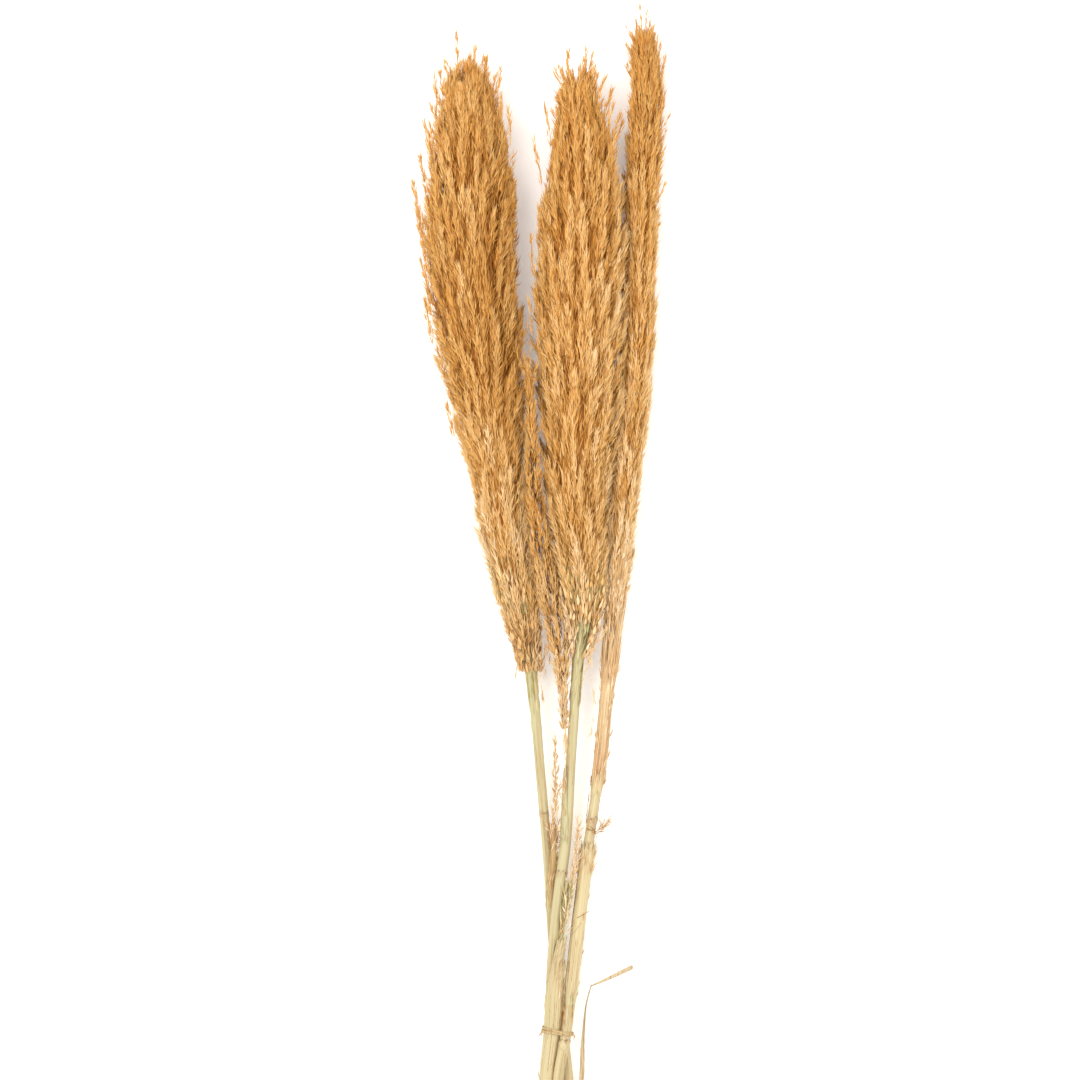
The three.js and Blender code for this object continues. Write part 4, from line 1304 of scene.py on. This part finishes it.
LEFT_AXIS = [(450, -41.0, 31.2, 4.0), (520, -56.7, 32.5, 2.4)]
MIDDLE_AXIS = [(450, 26.5, 36.5, 4.0), (520, 24.0, 37.0, 2.4)]
stalk("stalk_left", STALK_LEFT + LEFT_AXIS, [(232, 0.5)], 3, green=0.42, streaks=0.5)
stalk("stalk_middle", STALK_MIDDLE + MIDDLE_AXIS, [(168.5, 0.6)], 4, green=0.5, streaks=0.12)
stalk("stalk_right", STALK_RIGHT, [(-15, 0.6), (226, 0.6)], 5, green=0.12, streaks=0.2)

# %% [markdown]
# A leaf sheath is the foot of a leaf, rolled tightly round the stalk and torn where the leaf
# broke off. Each is a sheet that covers part of the way round: its table says how far it stands
# off the stalk, how much of the stalk it covers and which way it faces. Its long edges wander,
# its ribs run along it, and its torn end is cut into strips that curl out, with a few loose
# fibres.

# %% The leaf sheaths
SHEATH_GAP = 0.5
SHEATH_WALL = 0.5


def tear(u, seed, teeth):
    """How far short of the end each column is torn: sharp notches between pointed strips."""
    t = u * teeth + 0.8 * ripple(u * 6, seed)
    strip = np.abs((t % 1) - 0.5) * 2
    return strip**1.6 * (0.45 + 0.55 * np.abs(ripple(u * 9, seed + 1)))


def sheath(
    name, stalk_rows, rows, seed, finish, *, teeth, fibres, ragged=9.0, curl=1.2,
    edge_stain=0.9, foot_torn=0.0, green=0.0, hugs=True, cracks=12, scraps=10,
    slot="sheath", node=None,
):
    """A torn sheath on a stalk. node is the solid that it stands for, where named otherwise."""
    first, last = rows[0][0], rows[-1][0]

    def place(u, v, lift=0.0):
        y = first + (last - first) * v
        short = tear(u, seed, teeth) * ragged
        y = y - short * np.clip((v - 0.7) / 0.3, 0, 1) ** 1.5 + ragged * 0.25 * (v > 0.995)
        y = y + foot_torn * np.clip((0.12 - v) / 0.12, 0, 1) * tear(u, seed + 9, 4)
        off_x, off_z, wider, half, facing = at(rows, y).T
        x, z, radius = at(stalk_rows, y).T
        share = 2 * u - 1
        wander = 1 + 0.05 * ripple(y * 0.09, seed + 3) * np.abs(share) ** 3
        angle = np.radians(facing - share * half * wander)
        ribs = (
            0.10 * np.sin(u * 46 + 0.6 * ripple(y * 0.05, seed + 4))
            + 0.10 * ripple(u * 14 + y * 0.01, seed + 5)
        )
        lifted = curl * np.clip((v - 0.8) / 0.2, 0, 1) ** 2 * (0.5 + 0.5 * ripple(u * 8, seed + 6))
        lifted += 0.5 * np.abs(share) ** 10 * (0.6 + 0.5 * ripple(y * 0.06, seed + 7))
        hug = np.clip((y - first) / 22, 0, 1) ** 0.7 if hugs else 1.0
        off = SHEATH_GAP + wider + np.maximum(ribs, -0.15) + np.maximum(lifted, 0)
        reach = radius + off * hug + lift - (1 - hug) * (SHEATH_WALL + 0.25)
        return np.stack(
            [x + off_x + np.cos(angle) * reach, y, z + off_z + np.sin(angle) * reach], axis=1)

    def centre_of(points):
        off = at(rows, np.clip(points[:, 1], first, last))[:, :2]
        x, z = (at(stalk_rows, points[:, 1])[:, :2] + off).T
        return np.stack([x, x * 0, z], axis=1)

    def wear_of(points, centre):
        y = points[:, 1]
        half, facing = at(rows, np.clip(y, first, last))[:, 3:].T
        angle = np.degrees(np.arctan2(points[:, 2] - centre[:, 2], points[:, 0] - centre[:, 0]))
        share = np.abs((angle - facing + 180) % 360 - 180) / half
        edge = np.clip((share - 0.86) / 0.12, 0, 1)
        end = np.clip((y - last) / min(ragged, 14) + 1, 0, 1)
        stain = edge_stain * np.maximum(edge * (0.5 + 0.5 * ripple(y * 0.2, seed + 8)), end * 0.8)
        greens = green + 0.6 * np.clip(1 - (y - first) / 30, 0, 1) * hugs
        rim = np.clip((share - 0.965) / 0.03, 0, 1) * min(0.8, 0.2 + edge_stain)
        return np.stack([stain, greens, rim], axis=1)

    made = rolled(name + "_sheet", 40, max(30, round((last - first) / 1.6)), place)
    finished(thickened(made, SHEATH_WALL), finish, centre_of, wear_of)
    placed(made, slot, node or name)
    loose = loose_fibres(place, seed + 50, min(ragged, 12), fibres, scraps, cracks)
    placed(loose.made(name + "_fibres", SPIKELET_FINISH), slot, node or name)


# %% [markdown]
# Loose fibres stand off a sheath's torn end, scraps of skin lift from its face, and dark cracks
# run along it. All three are copies of the husk shapes, laid on the sheet by the same u and v.

# %% Loose fibres, scraps and cracks
def loose_fibres(place, seed, longest, fibres, scraps, cracks):
    """What is loose on a sheath, where place gives the points of its sheet."""
    loose = Copies(seed)
    random = loose.random
    u, v = random.uniform(0.04, 0.96, fibres), random.uniform(0.82, 0.97, fibres)
    roots = place(u, v, 0.7)
    ways = unit(place(u, v + 0.01, 0.9) - roots) + random.normal(0, 0.13, (fibres, 3))
    ways[:, 1] = np.abs(ways[:, 1])
    lengths = longest * random.uniform(0.5, 1.5, fibres)
    widths, tones = random.uniform(0.35, 0.8, fibres), random.uniform(0.3, 0.85, fibres)
    loose.lay(SPIKELET, roots, ways, lengths, widths, tones, bow=0.25)
    u, v = random.uniform(0.05, 0.95, scraps), random.uniform(0.05, 0.9, scraps)
    roots = place(u, v, SHEATH_WALL)
    ahead = place(u, v + 0.02, SHEATH_WALL + 0.5)
    ways = unit(ahead - roots) + random.normal(0, 0.08, (scraps, 3))
    lengths, widths = random.uniform(6, 13, scraps), random.uniform(1.0, 2.2, scraps)
    loose.lay(HUSK, roots, ways, lengths, widths, random.uniform(0.35, 0.8, scraps), bow=0.1)
    for u in 0.06 + 0.88 * (np.arange(cracks) * GOLDEN_SHARE % 1):
        v = random.uniform(0.03, 0.6) + np.linspace(0, random.uniform(0.08, 0.36), 8)
        points = place(np.full(8, u), v, SHEATH_WALL)
        add_branch(loose, points, random.uniform(0.16, 0.42), random.uniform(0.08, 0.3))
    return loose


# %% The sheaths, one by one
# y, offset in x and z, extra width, half the angle covered, facing
sheath("sheath_left", STALK_LEFT, [
    (125, 0, 0, 0.6, 120, 50), (150, 0.6, 0.6, 0.4, 98, 34), (175, 2.2, 2.4, 1.4, 78, 24),
    (200, 3.8, 4.2, 1.2, 62, 32), (222, 3.2, 4.2, 0.8, 46, 48)], 21, SHEATH_TAN, ragged=34.0,
    teeth=6, fibres=70, edge_stain=0.5, green=0.1, cracks=26)
sheath("sheath_middle_upper", STALK_MIDDLE, [
    (200, 0, 0, -0.2, 84, 128), (225, 0, 0, 0, 56, 140), (250, 0, 0, 0.2, 36, 140),
    (275, -0.3, 0.2, 0.6, 22, 134)], 22, STRAW, ragged=52.0, teeth=2, fibres=24,
    edge_stain=0.0, foot_torn=14.0, green=0.5, cracks=3, scraps=6, curl=0.2)
sheath("sheath_middle_lower", STALK_MIDDLE, [
    (BUTT_Y, 0, 0, 0.1, 150, 75), (-50, 0, 0, 0.1, 150, 75), (-25, 0, 0, 0.2, 130, 75),
    (0, 0, 0, 0.2, 108, 75), (25, 0, 0, 0.4, 85, 75), (50, 1.0, 1.0, 0.2, 75, 65),
    (75, 4.0, 2.4, -0.2, 78, 50), (100, 7.0, 3.4, -0.8, 85, 40)], 23, SHEATH_CREAM,
    teeth=6, fibres=40, edge_stain=0.3, green=0.25, cracks=9)
sheath("sheath_middle_strip", STALK_MIDDLE, [
    (BUTT_Y + 2, 2.6, 0, -0.2, 55, 65), (-50, 2.9, 0, -0.2, 55, 65), (-20, 3.2, 0, 0, 50, 68),
    (0, 4.6, 0.3, 0, 48, 72), (25, 6.4, 0.3, 0, 50, 75),
    (50, 7.2, 0.3, 0, 50, 75), (74, 7.0, 1.0, 0, 42, 72)], 27, SHEATH_CREAM, teeth=3,
    fibres=14, edge_stain=0.3, hugs=False, cracks=9, scraps=6, node="sheath_middle_lower")
sheath("sheath_right_upper", STALK_RIGHT, [
    (250, 0, 0, 0.5, 160, 90), (275, 0, 0, 0.7, 160, 90), (300, 0, 0, 1.0, 150, 90),
    (350, 0, 0, 0.9, 150, 90), (400, 0, 0, 1.4, 140, 90)], 24, SHEATH_ROSE,
    ragged=14.0, teeth=8, fibres=60, edge_stain=0.7, foot_torn=10.0, cracks=26, scraps=40)
sheath("sheath_right_lower", STALK_RIGHT, [
    (25, 0, 0, 0.4, 118, 90), (75, 0, 0, 0.6, 150, 90), (150, 0, 0, 0.6, 150, 90),
    (200, 0, 0, 1.0, 124, 84)], 25, SHEATH_CREAM, ragged=20.0, teeth=6, curl=0.6, fibres=90,
    edge_stain=0.05, foot_torn=5.0)


# %% [markdown]
# A few things are too small for a piece of their own but catch the eye: dark brown shreds in the
# gap between the stalks, which also paint the shade of that gap, a crease and a hooked fibre
# across the right sheath, and a pale bud below the tie.

# %% Shreds and creases
# The dark shreds in the gap between the stalks, above and below the tie, are painted shade of that
# gap.
# points on a line of x, y, z, and half the thickness
SHREDS_AND_GAP_SHADE = [
    ([(6.8, 60, 25.8), (6.2, 44, 26.2), (7.0, 30, 26.2), (5.8, 16, 26.8), (6.4, 4, 27.0)], 0.55),
    ([(8.2, 46, 27.0), (7.4, 28, 27.2), (7.8, 2, 27.6)], 0.35),
    ([(4.6, 34, 24.8), (5.0, 14, 25.4), (4.6, -3, 25.8)], 0.5),
    ([(4.0, 46, 22.0), (4.4, 4, 23.0)], 0.6),
    ([(16.6, 51, 28.8), (16.0, 28, 28.8), (15.4, 2, 28.4)], 0.5),
    ([(11.6, 74, 28.4), (12.4, 60, 28.6), (12.0, 50, 28.6)], 0.4),
    ([(13.8, 66, 29.2), (13.0, 50, 29.2), (13.4, 32, 29.0)], 0.28),
    ([(1.4, 50, 24.0), (2.2, 30, 23.6), (1.4, 6, 22.6)], 0.5),
    ([(2.6, 52, 20.0), (2.4, 2, 19.0)], 0.9),
    ([(-2.8, 93, 31.3), (-5.5, 70, 30.4), (-7.8, 50, 28.4), (-9.2, 30, 25.8),
      (-9.8, 15, 23.6)], 0.42),
    ([(36.0, 274, 28.6), (34.6, 262, 28.5)], 0.5), ([(33.8, 256, 28.2), (32.4, 244, 28.0)], 0.55),
    ([(31.8, 238, 27.8), (30.4, 224, 27.6)], 0.5), ([(32.8, 250, 29.0), (31.6, 232, 28.6)], 0.3),
    ([(50.0, 288, 26.6), (51.6, 281, 26.4), (50.4, 275, 27.4), (48.6, 270, 28.2)], 0.5),
    ([(47.6, 280, 28.9), (49.4, 274, 28.2), (47.8, 266, 28.2)], 0.4),
    ([(1.3, -1, 18.5), (-2.7, -30, 15.8), (-5.2, -50, 13.6), (-8.4, -96, 10.5)], 1.1),
    ([(-2.6, -22, 18.4), (-6.4, -96, 13.4)], 0.25), ([(8.0, -26, 24.4), (6.4, -70, 21.8)], 0.2),
    ([(21.6, 122, 30.8), (27.0, 125, 30.2), (31.5, 127, 28.0), (33.5, 128.4, 27.0)], 0.45),
    ([(24.8, 115.6, 30.2), (20.0, 109, 30.6), (14.0, 102.6, 28.6)], 0.3),
    ([(35.5, 220, 29.6), (39.5, 215, 28.9), (42.6, 207, 27.4)], 0.8),
    ([(31.2, 218, 29.2), (36.4, 216, 30.2), (40.4, 217, 28)], 0.5),
]
shreds = Copies(61, GOLD_HUE)
for line, radius in SHREDS_AND_GAP_SHADE:
    knots = at([(i, *point) for i, point in enumerate(line)], np.linspace(0, len(line) - 1, 7))
    add_branch(shreds, knots, radius, 0.1)
placed(shreds.made("stalk_right_shreds_and_gap_shade", SPIKELET_FINISH), "stalk", "stalk_right")

# %% The bud
BUD_X, BUD_Z = 5.8, 23.6


def bud_place(u, v):
    """A pointed egg shape, 15.5 mm long."""
    swell = 4.8 * np.sin(np.pi * v) ** 0.7 * (1.05 - 0.3 * v)
    angle = -u * 2 * math.pi
    x, z = BUD_X + np.cos(angle) * swell, BUD_Z + np.sin(angle) * swell
    return np.stack([x, -25.0 + 15.5 * v, z], axis=1)


bud = closed_tube(rolled("stalk_right_bud", 16, 14, bud_place))
finished(bud, SHEATH_CREAM, lambda points: np.array([BUD_X, 0, BUD_Z]))
placed(bud, "stalk", "stalk_right")

# %% [markdown]
# One dry leaf still clings to the foot of the left stalk. Its blade is folded along the middle in
# a shallow V, rises beside the bundle, turns on edge at a sharp kink, and ends torn off. It is
# one sheet along a bent line, given by where the line is, how wide the blade is, and how far it
# is turned.

# %% The leaf
# y, x, z, width, turn from lying flat in degrees, heading in degrees, 0 being along the bundle.
# The line runs within a few millimetres of the solid's, and follows the picture more closely.
LEAF_LINE = [
    (-82, 20.2, 8.2, 3.0, 60, 0), (-66, 24.6, 6.6, 5.4, 20, 0), (-50, 26.5, 5.4, 5.4, 10, 0),
    (-22, 27.4, 4.2, 4.3, 15, 0), (-3, 28.8, 3.6, 3.2, 35, 0), (22, 31.4, 3.2, 2.8, 60, 0),
    (42.6, 36.8, 2.6, 2.4, 76, 20), (43.4, 38.2, 2.8, 2.2, 66, 65), (49, 50.4, 3.5, 3.2, 32, 65),
    (57, 67.6, 2.7, 4.2, 14, 65), (64.2, 82.8, 1.2, 4.6, 6, 65),
]
LEAF_WALL = 0.35


def leaf_place(u, v):
    """The blade, u across and v along it, with a keel along its middle."""
    rows = [(i, y, *rest) for i, (y, *rest) in enumerate(LEAF_LINE)]
    y, x, z, width, turned, heading = at(rows, v * (len(rows) - 1)).T
    heading, turned = np.radians(heading), np.radians(turned)
    share = u - 0.5
    torn = np.clip((v - 0.96) / 0.04, 0, 1) * tear(u, 77, 2) * 4.0
    keel = 0.16 * width * (np.abs(share) * 2) ** 1.2 + 0.05 * np.cos(share * 40)
    across = np.stack([np.cos(heading), -np.sin(heading), 0 * heading], axis=1)
    along = np.stack([np.sin(heading), np.cos(heading), 0 * heading], axis=1)
    wide = across * np.cos(turned)[:, None] + np.array([0, 0, 1]) * np.sin(turned)[:, None]
    thick = -across * np.sin(turned)[:, None] + np.array([0, 0, 1]) * np.cos(turned)[:, None]
    edge = width * (1 + 0.05 * ripple(v * 30, 71))
    return (
        np.stack([x, y, z], axis=1) + wide * (share * edge)[:, None] + thick * keel[:, None]
        - along * torn[:, None]
    )


def leaf_wear(points, centre):
    """Brown at the kink and towards the torn end, and a dark crack just before it."""
    x, y = points[:, 0], points[:, 1]
    stain = 0.7 * bump_at(y, 42.8, 2.0) + 0.6 * np.clip((x - 75) / 8, 0, 1)
    return np.stack([stain, x * 0, 0.4 * bump_at(x, 83.5, 2.0)], axis=1)


blade = thickened(rolled("leaf_blade", 9, 150, leaf_place), LEAF_WALL)
finished(blade, LEAF_TAN, lambda points: np.array([27.0, 0, 5.0]), leaf_wear)
placed(blade, "leaf", "leaf_strip")
sheath("leaf_collar", STALK_LEFT, [
    (BUTT_Y, 0, 0, 0.1, 80, 34), (BUTT_Y + 25, 0, 0, 0.1, 64, 24)], 26, LEAF_TAN, ragged=3.0,
    teeth=4, curl=0.3, fibres=8, slot="leaf", node="leaf_strip")


# %% [markdown]
# Raffia is a ribbon of palm fibre that curls into a cord as it dries. Each turn of the tie is
# three flattened strands twisted about each other, laid on a line that is pulled tight round the
# three stalks: at every angle it touches whichever stalk reaches furthest out. The ends are
# tucked in.

# %% The line of a turn
SHEATH_ROOM = 1.6
STRAND_ROOM = 1.1


def tie_line(level, slope, extra):
    """The middle of a turn of raffia and its outward direction, at every angle in radians."""
    angles = np.linspace(0, 2 * math.pi, 361)
    cos, sin = np.cos(angles), np.sin(angles)
    reaches = []
    for rows, sheathed in ((STALK_MIDDLE, SHEATH_ROOM), (STALK_LEFT, 0.0), (STALK_RIGHT, 0.0)):
        x, z, radius = at(rows, level - slope * at(rows, level)[0, 0])[0]
        reaches.append(x * cos + z * sin + radius + sheathed)
    reach = np.max(reaches, axis=0) + STRAND_ROOM + extra
    turn = np.gradient(reach, angles)
    x, z = reach * cos - turn * sin, reach * sin + turn * cos
    for _ in range(6):
        x = (np.roll(x[:-1], 1) + 2 * x[:-1] + np.roll(x[:-1], -1)) / 4
        z = (np.roll(z[:-1], 1) + 2 * z[:-1] + np.roll(z[:-1], -1)) / 4
        x, z = np.append(x, x[0]), np.append(z, z[0])
    points = np.stack([x, level - slope * x + extra * 0.8, z], axis=1)
    return points, np.stack([cos, cos * 0, sin], axis=1)


# %% Its strands
THIRD_OF_A_TURN = 2.094


def strand(name, points, outs, twist, phase, size, closed, offset=(0.35, 0.72)):
    """One strand that winds round a line of points, flattened towards what it lies on."""
    count = len(points)

    def place(u, v):
        i = np.clip(v * (count - 1), 0, count - 1.001)
        low, t = i.astype(int), (i % 1)[:, None]
        point = points[low] * (1 - t) + points[low + 1] * t
        out = unit(outs[low] * (1 - t) + outs[low + 1] * t)
        along = unit(points[low + 1] - points[low])
        side = unit(np.cross(along, out))
        wind = phase + twist * 2 * math.pi * v
        middle = (
            point + out * (np.cos(wind) * offset[0])[:, None]
            + side * (np.sin(wind) * offset[1])[:, None]
        )
        taper = 1.0 if closed else np.clip(np.minimum(v / 0.08 + 0.3, (1 - v) / 0.25 + 0.12), 0, 1)
        angle = u * 2 * math.pi
        wobble = 1 + 0.14 * ripple(angle * 2 + wind, 5)
        return (
            middle + out * (np.cos(angle) * size * 0.72 * wobble * taper)[:, None]
            + side * (np.sin(angle) * size * wobble * taper)[:, None]
        )

    return closed_tube(rolled(name, 8, 150 if closed else 60, place))


raffia_pieces = []
for turn, (level, slope, extra, twist) in enumerate([(-2.4, 0.16, 0.0, 7), (-5.1, 0.10, 0.5, 6)]):
    points, outs = tie_line(level, slope, extra)
    for k in range(3):
        name = f"raffia_turn_{turn}_{k}"
        phase = k * THIRD_OF_A_TURN + turn
        raffia_pieces.append(strand(name, points, outs, twist, phase, 0.66, True))
print("the outer turn is", np.ptp(points, axis=0).round(1), "mm in x, y and z")

# %% Its tucked ends
ENDS = [
    [(16.2, -2.6, 22.6), (17.2, -4.6, 25.0), (17.3, -7.4, 26.4), (17.2, -9.6, 26.0),
     (16.4, -11.2, 24.6)],
    [(15.2, -6.0, 26.0), (17.3, -6.3, 26.2), (18.0, -8.0, 25.4), (17.6, -10.2, 24.8)],
    [(-16.4, -0.8, 18.4), (-18.0, -4.2, 17.4), (-19.2, -7.0, 16.6), (-21.0, -10.2, 15.2)],
    [(-15.6, -2.8, 20.4), (-17.6, -5.6, 19.2), (-18.4, -8.8, 17.6)],
]
for k, line in enumerate(ENDS):
    rows = [(i, *point) for i, point in enumerate(line)]
    points = at(rows, np.linspace(0, len(rows) - 1, 40))
    outs = np.tile(np.array([0.5 if points[0, 0] > 0 else -0.5, 0.0, 0.8]), (40, 1))
    raffia_pieces.append(strand(f"raffia_end_{k}", points, outs, 1.2, k, 0.62, False, (0.2, 0.3)))
for piece in raffia_pieces:
    finished(piece, RAFFIA_GOLD, lambda points: np.zeros(3))
    placed(piece, "raffia", "raffia_tie")


# %% [markdown]
# The light comes from wide, soft lamps over a plain pale table, as for a catalogue picture. The
# camera looks straight down, from far enough away that the bundle hardly narrows towards its
# ends.

# %% Table, light and camera
clear_selection()
bpy.ops.mesh.primitive_plane_add(size=14.0, location=(0, 0, -0.0004))
table = bpy.context.object
table.name = "table"
table_finish = Finish("pale_table", Roughness=0.9, Specular_IOR_Level=0.1)
table_finish.shader.inputs["Base Color"].default_value = rgb(246, 245, 243)
table_finish.shader.inputs["Emission Color"].default_value = (1.0, 0.99, 0.97, 1.0)
table_finish.shader.inputs["Emission Strength"].default_value = 0.22
table.data.materials.append(table_finish.material)


def soft_lamp(name, place, size, power, aim):
    """A square lamp at place that points at aim."""
    lamp = bpy.data.lights.new(name, "AREA")
    lamp.shape, lamp.size, lamp.energy = "SQUARE", size, power
    holder = bpy.data.objects.new(name, lamp)
    holder.location = place
    holder.rotation_euler = (Vector(aim) - Vector(place)).to_track_quat("-Z", "Y").to_euler()
    bpy.context.scene.collection.objects.link(holder)


soft_lamp("key_lamp", (-1.3, 0.9, 2.4), 1.6, 44.0, (0, 0.1, 0))
soft_lamp("fill_lamp", (1.8, -0.6, 2.2), 2.2, 26.0, (0, 0, 0))
world = bpy.data.worlds.new("studio")
world.use_nodes = True
world.node_tree.nodes["Background"].inputs["Color"].default_value = (1.0, 0.99, 0.97, 1.0)
world.node_tree.nodes["Background"].inputs["Strength"].default_value = 0.98
bpy.context.scene.world = world
bpy.context.scene.view_settings.view_transform = "Standard"

FRAME_MM = 1166.4
FRAME_CENTRE = (-19.4, 530.3, 35.0)
LENS, SENSOR = 85.0, 36.0
camera = bpy.data.objects.new("camera", bpy.data.cameras.new("camera"))
camera.data.lens, camera.data.sensor_width = LENS, SENSOR
camera.location = to_model(np.array(FRAME_CENTRE) + [0, 0, FRAME_MM / 2 * LENS / (SENSOR / 2)])
bpy.context.scene.collection.objects.link(camera)
bpy.context.scene.camera = camera
